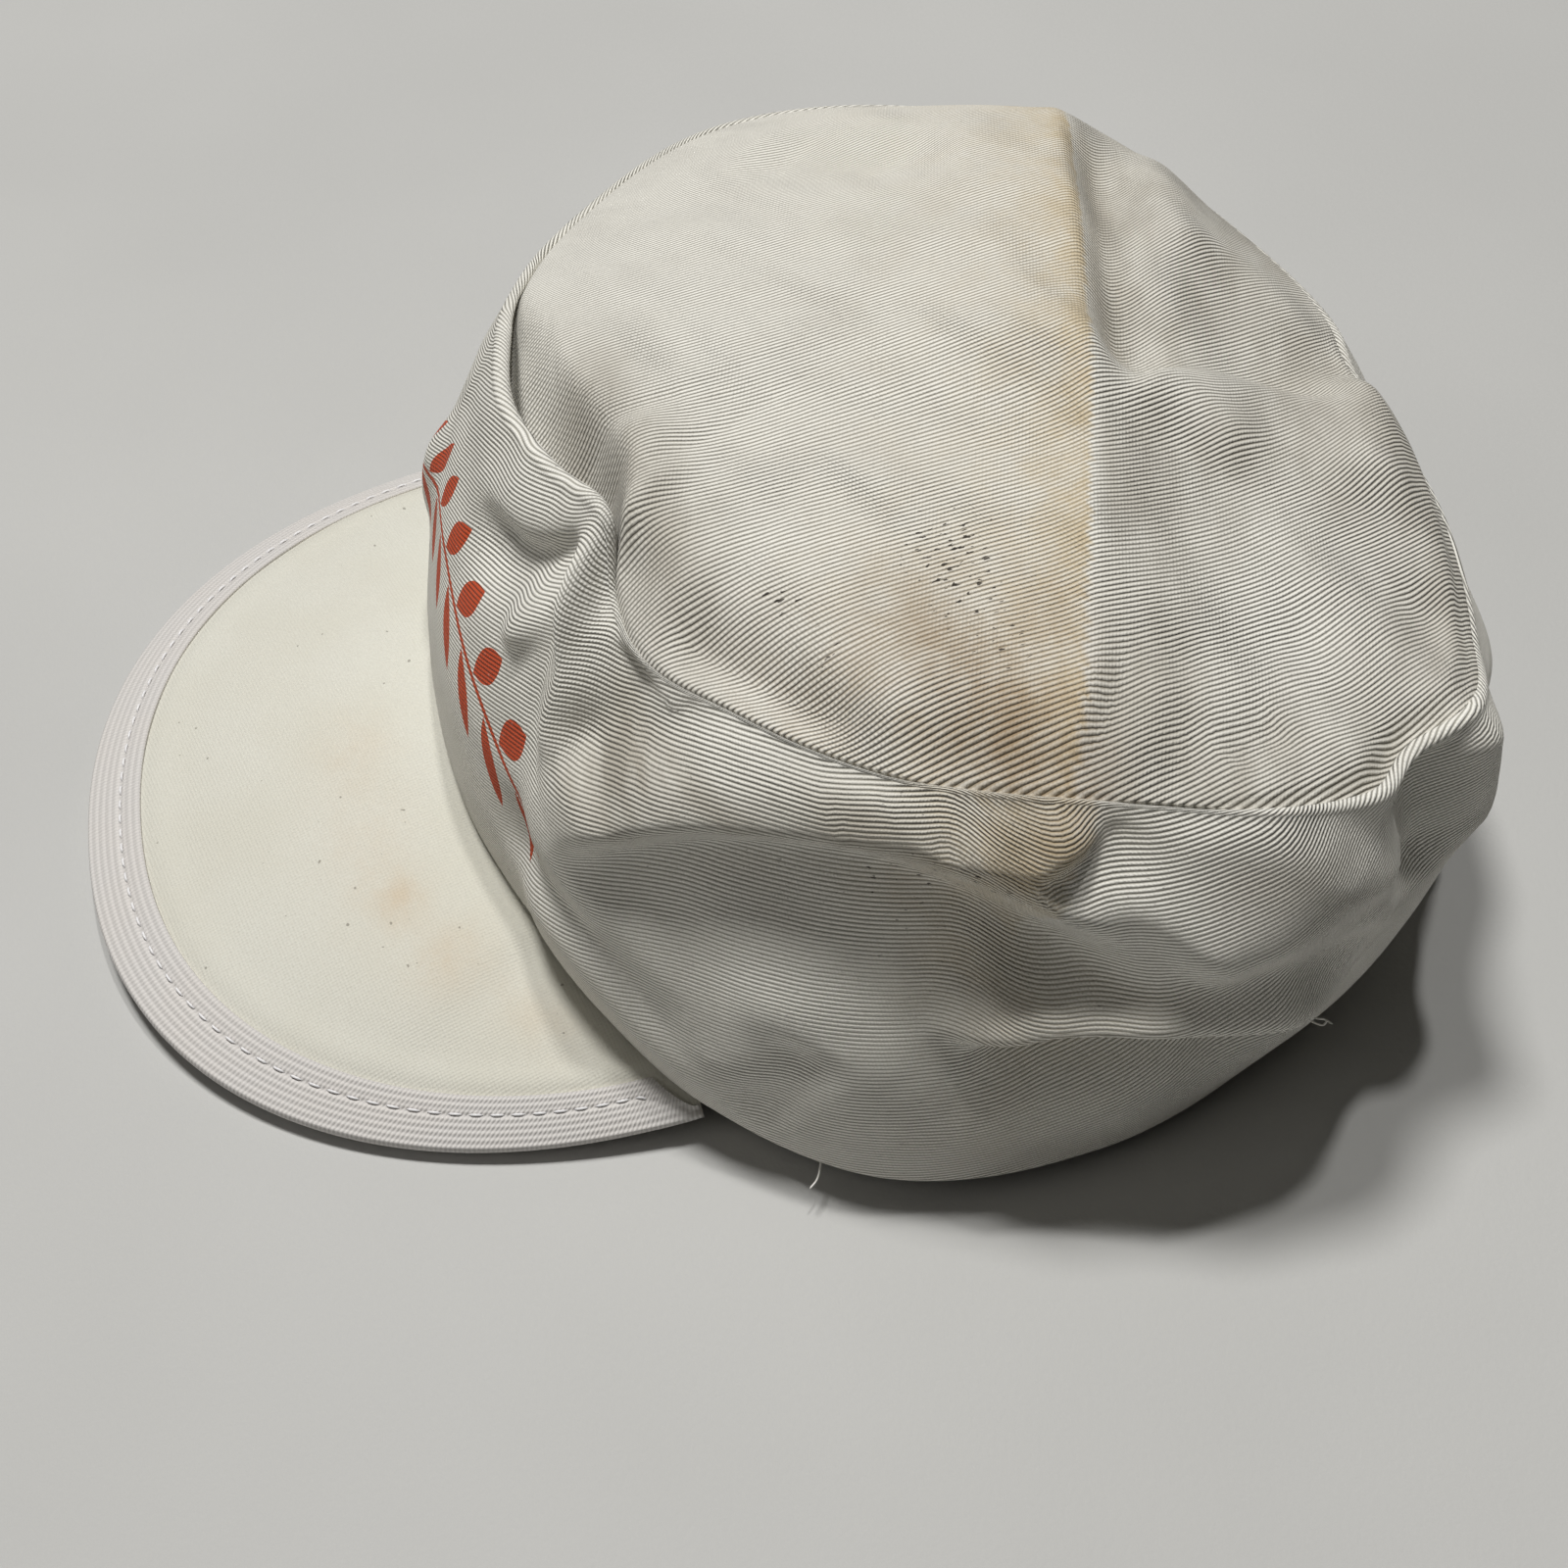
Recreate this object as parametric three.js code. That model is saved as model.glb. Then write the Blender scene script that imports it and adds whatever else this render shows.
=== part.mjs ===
// A soft cloth cap with a short visor, lying on a surface: side band, top panel, visor, binding,
// inner band and the strap at the back. Millimetres, +Z up, the visor towards -Y.
import * as THREE from 'three';
import { mergeVertices } from 'three/addons/utils/BufferGeometryUtils.js';

// Driving dimensions
const CLOTH = 1.8;
const GAP = 0.3;
const SEAM_GAP = 0.5;
const RIM_BEVEL = 0.015;
const INNER_GAP = 0.5;
const VISOR_BOARD = 2.4;
const VISOR_HALF_WIDTH = 80;
const VISOR_REACH = 85;
const VISOR_BACK = -50;
const VISOR_ROUNDNESS = 2.2;
const VISOR_CAMBER = 0.05;
const VISOR_TEMPLE_ANGLE = 60;
const VISOR_SIDE_HEIGHT = 1.9;
const VISOR_TIP_RISE = 3.5;
const VISOR_TEMPLE_RISE = 3.6;
const BINDING_WIDTH = 9.5;
const BINDING_THICKNESS = 0.7;
const BINDING_CLEAR_OF_HEM = 3;
const INNER_BAND_THICKNESS = 1.2;
const STRAP_THICKNESS = 1.2;
const ARCH_HALF_ANGLE = 18;
const ARCH_TOP = 0.5;
const TOP_CENTRE = { y: 13, z: 78 };
const TOP_OVAL = { halfWidth: 86, halfLength: 70 };
const TOP_DOME = 15;
const DOME_POWER = 2.2;
const RIM_POWER = 2.5;
const TOP_FLAT_RIM = 0.965;
const BAND_GIRTH_RADIUS = 95;
const BAND_LENGTH = 80;
const COLUMN_STEP = 4.5;
const ARCH_COLUMNS = 12;
const SIDE_ROWS = 14;
const HANGING_HALF_ANGLE = 88;
const STRAP_HALF_ANGLE = 32;

// The middle of the cap's box in plan, and its lowest point, which become the origin
const ORIGIN = { x: 2, y: -20, z: 0 };

// Names the columns of a table
function table(columns, rows) {
  return rows.map((row) => Object.fromEntries(columns.map((name, i) => [name, row[i]])));
}

// Sections of the side band round the head: 0 is the front, 90 the wearer's left, 180 the back
const SECTIONS = table(
  ['angle', 'hemRadius', 'hemHeight', 'bulge', 'seamRadius', 'seamHeight'],
  [
    [0, 73, 21, 5, 57, 87],
    [19, 74, 18, 7, 55, 88],
    [33, 76, 16, 9, 54.5, 88],
    [38, 78, 14, 10, 58.5, 79],
    [48, 82, 12, 10, 65, 78],
    [62, 89, 8, 9, 70, 79],
    [80, 97, 5, 6, 79, 79],
    [100, 98, 4, 4, 89, 78],
    [118, 97, 3, 6, 105, 76],
    [125, 97, 1.5, 7, 103, 74],
    [132, 97, 0.5, 6, 106, 78],
    [141, 98, 0, 6, 100, 76],
    [158, 97, 0, 7, 88, 79],
    [172, 94, 0, 8, 79, 79],
    [184, 92, 0, 9, 80, 76],
    [202, 92, 0, 10, 79, 76],
    [225, 94, 0, 8, 84, 74],
    [250, 95, 0, 6, 87, 73],
    [275, 95, 2, 5, 84, 73],
    [300, 88, 8, 4, 73, 72.5],
    [322, 78, 14, 5, 63, 79],
    [342, 74, 19, 5, 58, 86],
  ],
);

// Folds of the side band, each a ridge (or a valley, where height is below 0) along a curve from
// one end by its middle to the other. Angles in degrees, rises from 0 at the hem to 1 at the seam.
const FOLD_COLUMNS = ['a0', 'r0', 'a1', 'r1', 'a2', 'r2', 'height', 'left', 'right'];
const SIDE_FOLDS = table(FOLD_COLUMNS, [
  [32, 0.38, 70, 0.92, 106, 0.56, 8, 12, 8],
  [42, 0.45, 76, 0.68, 100, 0.46, -7, 9, 14],
  [82, 0.54, 100, 0.53, 121, 0.36, 6, 12, 9],
  [88, 0.36, 104, 0.32, 118, 0.2, -4, 9, 11],
  [26, 0.18, 48, 0.4, 63, 0.18, -4, 8, 8],
  [97, 1.04, 95, 0.86, 91, 0.68, 4, 8, 8],
  [35, 1.04, 38, 0.84, 37, 0.58, 5, 8, 8],
  [48, 1.04, 48, 0.88, 46, 0.7, -5, 8, 8],
  [125, 1.04, 126, 0.85, 127, 0.6, -4, 8, 8],
  [142, 0.76, 164, 0.62, 186, 0.72, 4, 10, 9],
  [196, 0.44, 214, 0.52, 236, 0.42, 5, 11, 9],
  [236, 0.8, 262, 0.7, 292, 0.78, 5, 10, 9],
  [296, 0.3, 306, 0.52, 318, 0.62, -5, 9, 9],
  [330, 0.25, 338, 0.5, 344, 0.72, 3, 9, 8],
]);

// Folds of the top panel, the same in plan: x and y of both ends and the middle in millimetres
const TOP_FOLDS = table(['x0', 'y0', 'x1', 'y1', 'x2', 'y2', 'height', 'left', 'right'], [
  [-72, 50, 4, 31, 88, 8, 6, 17, 30],
  [-8, -52, 15, -44, 35, -36, -8, 8, 7],
  [-26, 58, 0, 49, 24, 51, -6, 11, 10],
  [8, 30, 24, 42, 42, 56, 4, 6, 7],
  [12, 76, 29, 71, 46, 64, 4, 7, 8],
  [70, 18, 78, 17, 88, 16, -3, 5, 5],
  [90, 12, 80, 20, 68, 29, 3, 5, 5],
  [70, 20, 75, 28, 78, 38, -3, 6, 5],
  [56, 72, 72, 66, 88, 61, -5, 6, 6],
  [-60, -8, -44, 6, -38, 26, -3, 12, 10],
]);

const radians = THREE.MathUtils.degToRad;
const clamp = THREE.MathUtils.clamp;

// A smooth closed curve through the sections for one of their columns
function sectionValue(angle, column) {
  const count = SECTIONS.length;
  const turned = THREE.MathUtils.euclideanModulo(angle, 360);
  const row = (i) => SECTIONS[THREE.MathUtils.euclideanModulo(i, count)];
  const place = (i) => row(i).angle + 360 * Math.floor(i / count);
  let k = count - 1;
  while (SECTIONS[k].angle > turned) k -= 1;
  const span = place(k + 1) - place(k);
  const t = (turned - place(k)) / span;
  const from = row(k)[column];
  const to = row(k + 1)[column];
  const slopeFrom = ((to - row(k - 1)[column]) / (place(k + 1) - place(k - 1))) * span;
  const slopeTo = ((row(k + 2)[column] - from) / (place(k + 2) - place(k))) * span;
  return (2 * t ** 3 - 3 * t ** 2 + 1) * from + (t ** 3 - 2 * t ** 2 + t) * slopeFrom
    + (-2 * t ** 3 + 3 * t ** 2) * to + (t ** 3 - t ** 2) * slopeTo;
}

// Points along the curve of a fold, from one end by its middle to the other
function foldLine(x0, y0, x1, y1, x2, y2) {
  const bend = (a, b, c) => 2 * b - 0.5 * (a + c);
  const start = new THREE.Vector2(x0, y0);
  const end = new THREE.Vector2(x2, y2);
  const middle = new THREE.Vector2(bend(x0, x1, x2), bend(y0, y1, y2));
  return new THREE.QuadraticBezierCurve(start, middle, end).getPoints(16);
}

// How high a fold stands at x, y: highest on its line, fading over its width and at both ends
function foldHeight(line, x, y, fold) {
  let nearest = Infinity;
  let leftSide = true;
  let along = 0;
  for (let i = 0; i < line.length - 1; i += 1) {
    const dx = line[i + 1].x - line[i].x;
    const dy = line[i + 1].y - line[i].y;
    const t = clamp(((x - line[i].x) * dx + (y - line[i].y) * dy) / (dx * dx + dy * dy), 0, 1);
    const ex = x - line[i].x - t * dx;
    const ey = y - line[i].y - t * dy;
    const distance = Math.hypot(ex, ey);
    if (distance < nearest) {
      nearest = distance;
      leftSide = dx * ey - dy * ex > 0;
      along = (i + t) / (line.length - 1);
    }
  }
  const width = leftSide ? fold.left : fold.right;
  const ends = THREE.MathUtils.smoothstep(Math.min(along, 1 - along), 0, 0.25);
  return fold.height * ends * Math.exp(-((nearest / width) ** 2));
}

const DEGREE = radians(BAND_GIRTH_RADIUS);
const sideFoldLines = SIDE_FOLDS.map((f) => foldLine(
  f.a0 * DEGREE, f.r0 * BAND_LENGTH, f.a1 * DEGREE, f.r1 * BAND_LENGTH,
  f.a2 * DEGREE, f.r2 * BAND_LENGTH,
));
const topFoldLines = TOP_FOLDS.map((f) => foldLine(f.x0, f.y0, f.x1, f.y1, f.x2, f.y2));

// How far the folds push the side band out at an angle and a rise
function sideFolds(angle, rise) {
  let sum = 0;
  SIDE_FOLDS.forEach((fold, i) => {
    const near = THREE.MathUtils.euclideanModulo(angle - fold.a0 + 180, 360) - 180 + fold.a0;
    sum += foldHeight(sideFoldLines[i], near * DEGREE, rise * BAND_LENGTH, fold);
  });
  return sum * clamp(6 * (1 - rise), 0, 1) * clamp(0.35 + 4 * rise, 0, 1);
}

// A point of the side band, rise 0 at the hem and 1 at the top seam, inset towards the head
function sidePoint(angle, rise, inset) {
  const hem = sectionValue(angle, 'hemRadius');
  const seam = sectionValue(angle, 'seamRadius');
  const hemHeight = Math.max(0, sectionValue(angle, 'hemHeight'));
  const seamHeight = sectionValue(angle, 'seamHeight');
  const bulge = 4 * rise * (1 - rise) * sectionValue(angle, 'bulge');
  const radius = hem + (seam - hem) * rise + bulge + sideFolds(angle, rise) - inset;
  const turn = radians(angle);
  const height = hemHeight + (seamHeight - hemHeight) * rise;
  return new THREE.Vector3(radius * Math.sin(turn), -radius * Math.cos(turn), height);
}

// A point of the top panel, reach 0 at its middle and 1 at the seam
function topPoint(angle, reach, drop) {
  const rim = sectionValue(angle, 'seamRadius');
  const turn = radians(angle);
  const dx = rim * Math.sin(turn);
  const dy = -rim * Math.cos(turn) - TOP_CENTRE.y;
  const full = Math.hypot(dx, dy);
  const oval = full / Math.hypot(dx / TOP_OVAL.halfWidth, dy / TOP_OVAL.halfLength);
  const length = reach * (oval + (full - oval) * reach ** 5);
  const x = (dx / full) * length;
  const y = TOP_CENTRE.y + (dy / full) * length;
  const rimRise = (sectionValue(angle, 'seamHeight') - TOP_CENTRE.z) * reach ** RIM_POWER;
  let height = TOP_CENTRE.z + rimRise + TOP_DOME * (1 - reach ** DOME_POWER);
  TOP_FOLDS.forEach((fold, i) => {
    height += foldHeight(topFoldLines[i], x, y, fold) * clamp(7 * (TOP_FLAT_RIM - reach), 0, 1);
  });
  return new THREE.Vector3(x, y, height - drop);
}

// A closed body between two grids of points, grid[column][row]. Where columns run to the left and
// rows run up, seen from outside, the first grid is the one that faces out.
function shell(outside, inside, closedRound, pole) {
  const columns = outside.length;
  const rows = outside[0].length;
  const positions = [];
  const index = [];
  const skins = [outside, inside];
  skins.forEach((grid) => grid.forEach((column) => column.forEach((p) => positions.push(p.x, p.y, p.z))));
  const id = (skin, i, j) => (skin * columns + (i % columns)) * rows + j;
  const quad = (a, b, c, d) => index.push(a, b, c, a, c, d);
  const steps = closedRound ? columns : columns - 1;
  for (let i = 0; i < steps; i += 1) {
    for (let j = 0; j < rows - 1; j += 1) {
      quad(id(0, i, j), id(0, i + 1, j), id(0, i + 1, j + 1), id(0, i, j + 1));
      quad(id(1, i, j), id(1, i, j + 1), id(1, i + 1, j + 1), id(1, i + 1, j));
    }
    if (!pole) quad(id(0, i, 0), id(1, i, 0), id(1, i + 1, 0), id(0, i + 1, 0));
    const top = rows - 1;
    quad(id(0, i, top), id(0, i + 1, top), id(1, i + 1, top), id(1, i, top));
  }
  if (!closedRound) {
    const last = columns - 1;
    for (let j = 0; j < rows - 1; j += 1) {
      quad(id(0, 0, j), id(0, 0, j + 1), id(1, 0, j + 1), id(1, 0, j));
      quad(id(0, last, j), id(1, last, j), id(1, last, j + 1), id(0, last, j + 1));
    }
  }
  return closedBody(positions, index);
}

// Merges shared vertices, and drops the triangles that this leaves without a face
function closedBody(positions, index) {
  const loose = new THREE.BufferGeometry();
  loose.setAttribute('position', new THREE.Float32BufferAttribute(positions, 3));
  loose.setIndex(index);
  const merged = mergeVertices(loose, 1e-3);
  const from = merged.index.array;
  const kept = [];
  for (let i = 0; i < from.length; i += 3) {
    const [a, b, c] = [from[i], from[i + 1], from[i + 2]];
    if (a !== b && b !== c && c !== a) kept.push(a, b, c);
  }
  merged.setIndex(kept);
  merged.computeVertexNormals();
  return merged;
}

const range = (count) => Array.from({ length: count }, (unused, i) => i);
const lerp = THREE.MathUtils.lerp;

// The angles of the columns from one foot of the arch at the back round the front to the other
function plainAngles() {
  const start = 180 + ARCH_HALF_ANGLE;
  const sweep = 360 - 2 * ARCH_HALF_ANGLE;
  const count = Math.round(sweep / COLUMN_STEP);
  return range(count).map((i) => start + (sweep * i) / count);
}

// The angles of all columns of the crown, closer together at the feet of the arch
function crownAngles() {
  const arch = range(ARCH_COLUMNS).map((i) => {
    return 180 - ARCH_HALF_ANGLE * Math.cos(Math.PI * (i / ARCH_COLUMNS));
  });
  return plainAngles().concat(arch);
}

// Where the cloth of the side band starts: at the hem, or on the arch over the strap
function archRise(angle) {
  const across = (THREE.MathUtils.euclideanModulo(angle, 360) - 180) / ARCH_HALF_ANGLE;
  return ARCH_TOP * Math.sqrt(Math.max(0, 1 - across * across));
}

function crownSide() {
  const skin = (inset, highest) => crownAngles().map((angle) => range(SIDE_ROWS + 1).map((j) => {
    return sidePoint(angle, lerp(archRise(angle), highest, j / SIDE_ROWS), inset);
  }));
  return shell(skin(0, 1), skin(CLOTH, 1 - RIM_BEVEL), true, false);
}

function crownTop() {
  const rings = [0, 0.2, 0.36, 0.5, 0.62, 0.73, 0.83, 0.91, TOP_FLAT_RIM, 1];
  const above = SEAM_GAP + CLOTH;
  const skin = (drop) => crownAngles().map((angle) => rings.map((reach) => {
    return topPoint(angle, reach, drop - above);
  }));
  return shell(skin(CLOTH), skin(0), true, true);
}

// The outer edge of the visor, from -1 at the right temple round the tip to 1 at the left one
function visorEdge(turn) {
  const angle = radians(94 * turn);
  const power = 2 / VISOR_ROUNDNESS;
  const across = Math.sign(angle) * Math.abs(Math.sin(angle)) ** power;
  const ahead = Math.sign(Math.cos(angle)) * Math.abs(Math.cos(angle)) ** power;
  const forward = Math.cos(angle) ** 2;
  const x = VISOR_HALF_WIDTH * across - 2 + 5 * forward;
  const height = VISOR_SIDE_HEIGHT + VISOR_TIP_RISE * forward + VISOR_TEMPLE_RISE * turn ** 6;
  return new THREE.Vector3(x, VISOR_BACK - VISOR_REACH * ahead, height);
}

// The upper face of the visor, out 0 under the hem of the side band and 1 at the outer edge
function visorPoint(turn, out) {
  const root = sidePoint(VISOR_TEMPLE_ANGLE * turn, 0, CLOTH - GAP);
  root.z -= SEAM_GAP;
  const edge = visorEdge(turn);
  const camber = 4 * out * (1 - out) * VISOR_CAMBER * root.distanceTo(edge);
  const point = root.lerp(edge, out);
  point.z += camber;
  return point;
}

// A point above (or, below 0, under) the visor's upper face, along its normal
function visorOffset(turn, out, height) {
  const small = 0.01;
  const here = visorPoint(turn, out);
  const outward = visorPoint(turn, out + small).sub(here);
  const along = visorPoint(turn + small, out).sub(visorPoint(turn - small, out));
  const normal = outward.cross(along).normalize();
  return here.addScaledVector(normal, height);
}

const VISOR_COLUMNS = 36;
const visorTurns = range(VISOR_COLUMNS + 1).map((i) => -1 + (2 * i) / VISOR_COLUMNS);

function visor() {
  const outs = [0, 0.18, 0.36, 0.54, 0.7, 0.86, 1];
  const face = (height) => visorTurns.map((turn) => outs.map((out) => visorOffset(turn, out, height)));
  return shell(face(-VISOR_BOARD), face(0), false, false);
}

// Tape folded round the edge of the visor: over it, round it and back under it
function visorBinding() {
  const inner = GAP;
  const outer = GAP + BINDING_THICKNESS;
  const middle = -VISOR_BOARD / 2;
  const strip = (clear) => visorTurns.map((turn) => {
    const length = visorPoint(turn, 0).distanceTo(visorPoint(turn, 1));
    const lap = Math.min(BINDING_WIDTH, length - BINDING_CLEAR_OF_HEM);
    const at = (inward, height) => visorOffset(turn, 1 - inward / length, height);
    return [
      at(lap, clear), at(lap / 2, clear), at(0, clear * 0.8), at(-clear, middle),
      at(0, -VISOR_BOARD - clear * 0.8), at(lap / 2, -VISOR_BOARD - clear), at(lap, -VISOR_BOARD - clear),
    ];
  });
  return shell(strip(inner), strip(outer), false, false);
}

// A strip inside the side band, on the same columns and rows as the band, so that it lies along it
function innerStrip(angles, rises, inset, thickness) {
  const face = (depth) => angles.map((angle) => rises(angle).map((rise) => {
    return sidePoint(angle, rise, depth);
  }));
  return shell(face(inset), face(inset + thickness), false, false);
}

function innerBand() {
  const angles = plainAngles().slice(1);
  const rises = (angle) => {
    const infront = THREE.MathUtils.smoothstep(HANGING_HALF_ANGLE - Math.abs(angle - 360), 0, 10);
    return [lerp(0.02, -0.03, infront)].concat(range(5).map((j) => (j + 1) / SIDE_ROWS));
  };
  return innerStrip(angles, rises, CLOTH + INNER_GAP, INNER_BAND_THICKNESS);
}

function snapStrap() {
  const plain = plainAngles().slice(1);
  const right = plain.filter((angle) => angle < 180 + STRAP_HALF_ANGLE);
  const left = plain.map((angle) => angle - 360).filter((angle) => angle > 180 - STRAP_HALF_ANGLE);
  const between = range(7).map((i) => 180 + ARCH_HALF_ANGLE * (i / 3 - 1));
  const rises = () => range(4).map((j) => (j + 1) / SIDE_ROWS);
  const inset = CLOTH + INNER_GAP + INNER_BAND_THICKNESS + GAP;
  return innerStrip(left.concat(between, right), rises, inset, STRAP_THICKNESS);
}

const white = new THREE.MeshStandardMaterial({ color: 0xe4e3df, roughness: 0.95, metalness: 0 });
const cream = new THREE.MeshStandardMaterial({ color: 0xe1ded0, roughness: 0.9, metalness: 0 });
const lilac = new THREE.MeshStandardMaterial({ color: 0xdcdae0, roughness: 0.8, metalness: 0 });
const plastic = new THREE.MeshStandardMaterial({ color: 0xeeeeea, roughness: 0.4, metalness: 0 });

const cap = new THREE.Group();
cap.position.set(-ORIGIN.x, -ORIGIN.y, -ORIGIN.z);

function add(name, geometry, material) {
  const mesh = new THREE.Mesh(geometry, material);
  mesh.name = name;
  cap.add(mesh);
}

add('crown_side', crownSide(), white);
add('crown_top', crownTop(), white);
add('visor', visor(), cream);
add('visor_binding', visorBinding(), lilac);
add('inner_band', innerBand(), white);
add('snap_strap', snapStrap(), plastic);

export default cap;
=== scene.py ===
import math

import bmesh
import bpy
import numpy as np
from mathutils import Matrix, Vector


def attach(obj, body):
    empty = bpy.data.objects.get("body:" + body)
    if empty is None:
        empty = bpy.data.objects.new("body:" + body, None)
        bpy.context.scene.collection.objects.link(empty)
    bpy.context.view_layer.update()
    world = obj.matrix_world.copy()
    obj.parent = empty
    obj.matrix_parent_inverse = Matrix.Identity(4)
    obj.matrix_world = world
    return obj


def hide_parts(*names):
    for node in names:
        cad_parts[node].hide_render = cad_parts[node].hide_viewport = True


# A soft cloth cap with a short visor. Sizes are in millimetres round the head's axis, which ORIGIN
# moves into the part's frame. Angles go round the head from the front (0) by the wearer's left (90)
# to the back (180). Rise goes up the side band, from 0 at the hem to 1 at the seam with the top panel.
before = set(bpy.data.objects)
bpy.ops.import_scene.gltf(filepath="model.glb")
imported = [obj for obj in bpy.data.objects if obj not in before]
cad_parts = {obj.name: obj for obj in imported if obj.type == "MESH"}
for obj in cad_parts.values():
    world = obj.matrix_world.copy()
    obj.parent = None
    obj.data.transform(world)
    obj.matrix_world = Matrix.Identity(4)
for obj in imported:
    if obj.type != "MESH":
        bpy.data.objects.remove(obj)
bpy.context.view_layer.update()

MM = 0.001
ORIGIN = np.array((2.0, -20.0, 0.0))
CLOTH_HALF = 0.8
SEAM_GAP = 0.5
TOP_CENTRE_Y = 13.0
TOP_CENTRE_Z = 78.0
TOP_OVAL = (86.0, 70.0)
TOP_RADIUS = 85.0
TOP_DOME = 15.0
DOME_POWER = 2.2
RIM_POWER = 2.5
GIRTH_DEGREE = math.radians(95.0)
BAND_LENGTH = 80.0
ARCH_HALF_ANGLE = 18.0
ARCH_TOP = 0.5
ARCH_COLUMNS = 28
COLUMN_STEP = 0.8
SIDE_WRINKLES = 0.65
TOP_WRINKLES = 0.34
WRINKLE_START = 180 - ARCH_HALF_ANGLE
WRINKLE_FADE = 12
FOLD_END = 0.25
TOP_CLEAR = 0.5
TOP_LIFT = 1.0

# angle, hem radius, hem height, bulge, seam radius, seam height
SECTIONS = np.array([
    (0, 73, 21, 5, 57, 87), (19, 74, 18, 7, 55, 88), (33, 76, 16, 9, 54.5, 88),
    (38, 78, 14, 10, 58.5, 79), (48, 82, 12, 10, 65, 78), (62, 89, 8, 9, 70, 79),
    (80, 97, 5, 6, 79, 79), (100, 98, 4, 4, 89, 78), (118, 97, 3, 6, 105, 76),
    (125, 97, 1.5, 7, 103, 74), (132, 97, 0.5, 6, 106, 78), (141, 98, 0, 6, 100, 76),
    (158, 97, 0, 7, 88, 79), (172, 94, 0, 8, 79, 79), (184, 92, 0, 9, 80, 76),
    (202, 92, 0, 10, 79, 76), (225, 94, 0, 8, 84, 74), (250, 95, 0, 6, 87, 73),
    (275, 95, 2, 5, 84, 73), (300, 88, 8, 4, 73, 72.5), (322, 78, 14, 5, 63, 79),
    (342, 74, 19, 5, 58, 86),
])
HEM_RADIUS, HEM_HEIGHT, BULGE, SEAM_RADIUS, SEAM_HEIGHT = 1, 2, 3, 4, 5

# Folds of the side band: points (angle, rise), height, width to the left and right of the line,
# and how rounded the crest is (3 flat, 2 round, 1 sharp)
SIDE_FOLDS = [
    ([(36, .44), (43, .645), (49.5, .775), (60, .88), (70.5, .935), (79, .955), (88, .92)],
     4.5, 7, 8, 3),
    ([(76, .955), (84.3, .94), (89.3, .905), (94.5, .84), (99, .77), (103.5, .66), (108, .56)],
     4.6, 15, 7, 1.8),
    ([(43, .45), (52, .60), (63, .725), (76, .79), (88, .74), (97, .61), (102, .53)], -5, 6, 34, 2),
    ([(82, .50), (88, .49), (94, .52), (100, .54), (106, .52), (114, .475), (120, .42)],
     7, 8, 3.6, 1.8),
    ([(86, .43), (98, .40), (108, .37), (118, .28)], -7, 4.5, 11, 2),
    ([(27, .20), (36, .31), (46, .34), (55, .27), (64, .12)], -2.8, 8, 5, 2),
    ([(66, .03), (70, .22), (72, .40)], -1.8, 5, 4, 1.8),
    ([(102, .66), (107, .735), (112, .82), (119, .94)], 4, 16, 7, 1.8),
    ([(101, 1.02), (98, .93), (94.5, .88), (91.8, .85)], -3.4, 4, 4, 2),
    ([(96, 1.02), (94.4, .93), (91.8, .87)], 1.8, 3, 4, 1.8),
    ([(91.6, 1.01), (91, .955), (90.5, .92)], -0.8, 3, 3, 2),
    ([(88.6, 1.01), (88.2, .94), (87.6, .89)], 0.7, 3, 3, 2),
    ([(87, 1.01), (85.3, .96), (83.3, .91)], -1.4, 3, 3, 2),
    ([(79, 1.0), (76, .965), (73.4, .93)], -0.9, 4, 4, 2),
    ([(54.2, 1.01), (56.2, .96), (52.7, .90), (49.5, .855)], -1.8, 4, 4, 2),
    ([(34.5, 1.04), (36.5, .93), (38, .84), (37, .60)], 5, 6, 5, 2),
    ([(36, 1.0), (33, .88), (28, .77), (22, .68)], 3, 4, 5, 2),
    ([(4, .78), (17, .80), (27, .86), (33, .94)], -4.5, 5, 6, 2),
    ([(46, 1.03), (46, .88), (44, .72)], -4, 8, 8, 2),
    ([(125, 1.04), (126, .85), (127, .60)], -4, 5, 6, 2),
    ([(132, 1.02), (134, .84), (136, .55)], 3, 5, 6, 2),
    ([(130, .70), (120, .80), (112, .73), (106, .66)], 1.2, 3, 4, 1.8),
    ([(126, .60), (117, .70), (108, .62)], 1.0, 3, 4, 1.8),
    ([(142, .76), (164, .62), (186, .72)], 4, 10, 7, 2),
    ([(196, .44), (214, .52), (236, .42)], 5, 11, 7, 2),
    ([(236, .80), (262, .70), (292, .78)], 5, 10, 7, 2),
    ([(296, .30), (306, .52), (318, .62)], -5, 9, 9, 2),
    ([(330, .25), (338, .50), (344, .72)], 3, 8, 7, 2),
    ([(146, .42), (158, .34), (172, .38)], 3, 6, 4, 1.8),
    ([(206, .86), (222, .78), (240, .84)], 2.5, 5, 4, 1.8),
    ([(250, .30), (268, .38), (284, .30)], 3, 7, 5, 1.8),
    ([(262, .12), (276, .18), (290, .10)], -2, 5, 5, 2),
]

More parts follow.
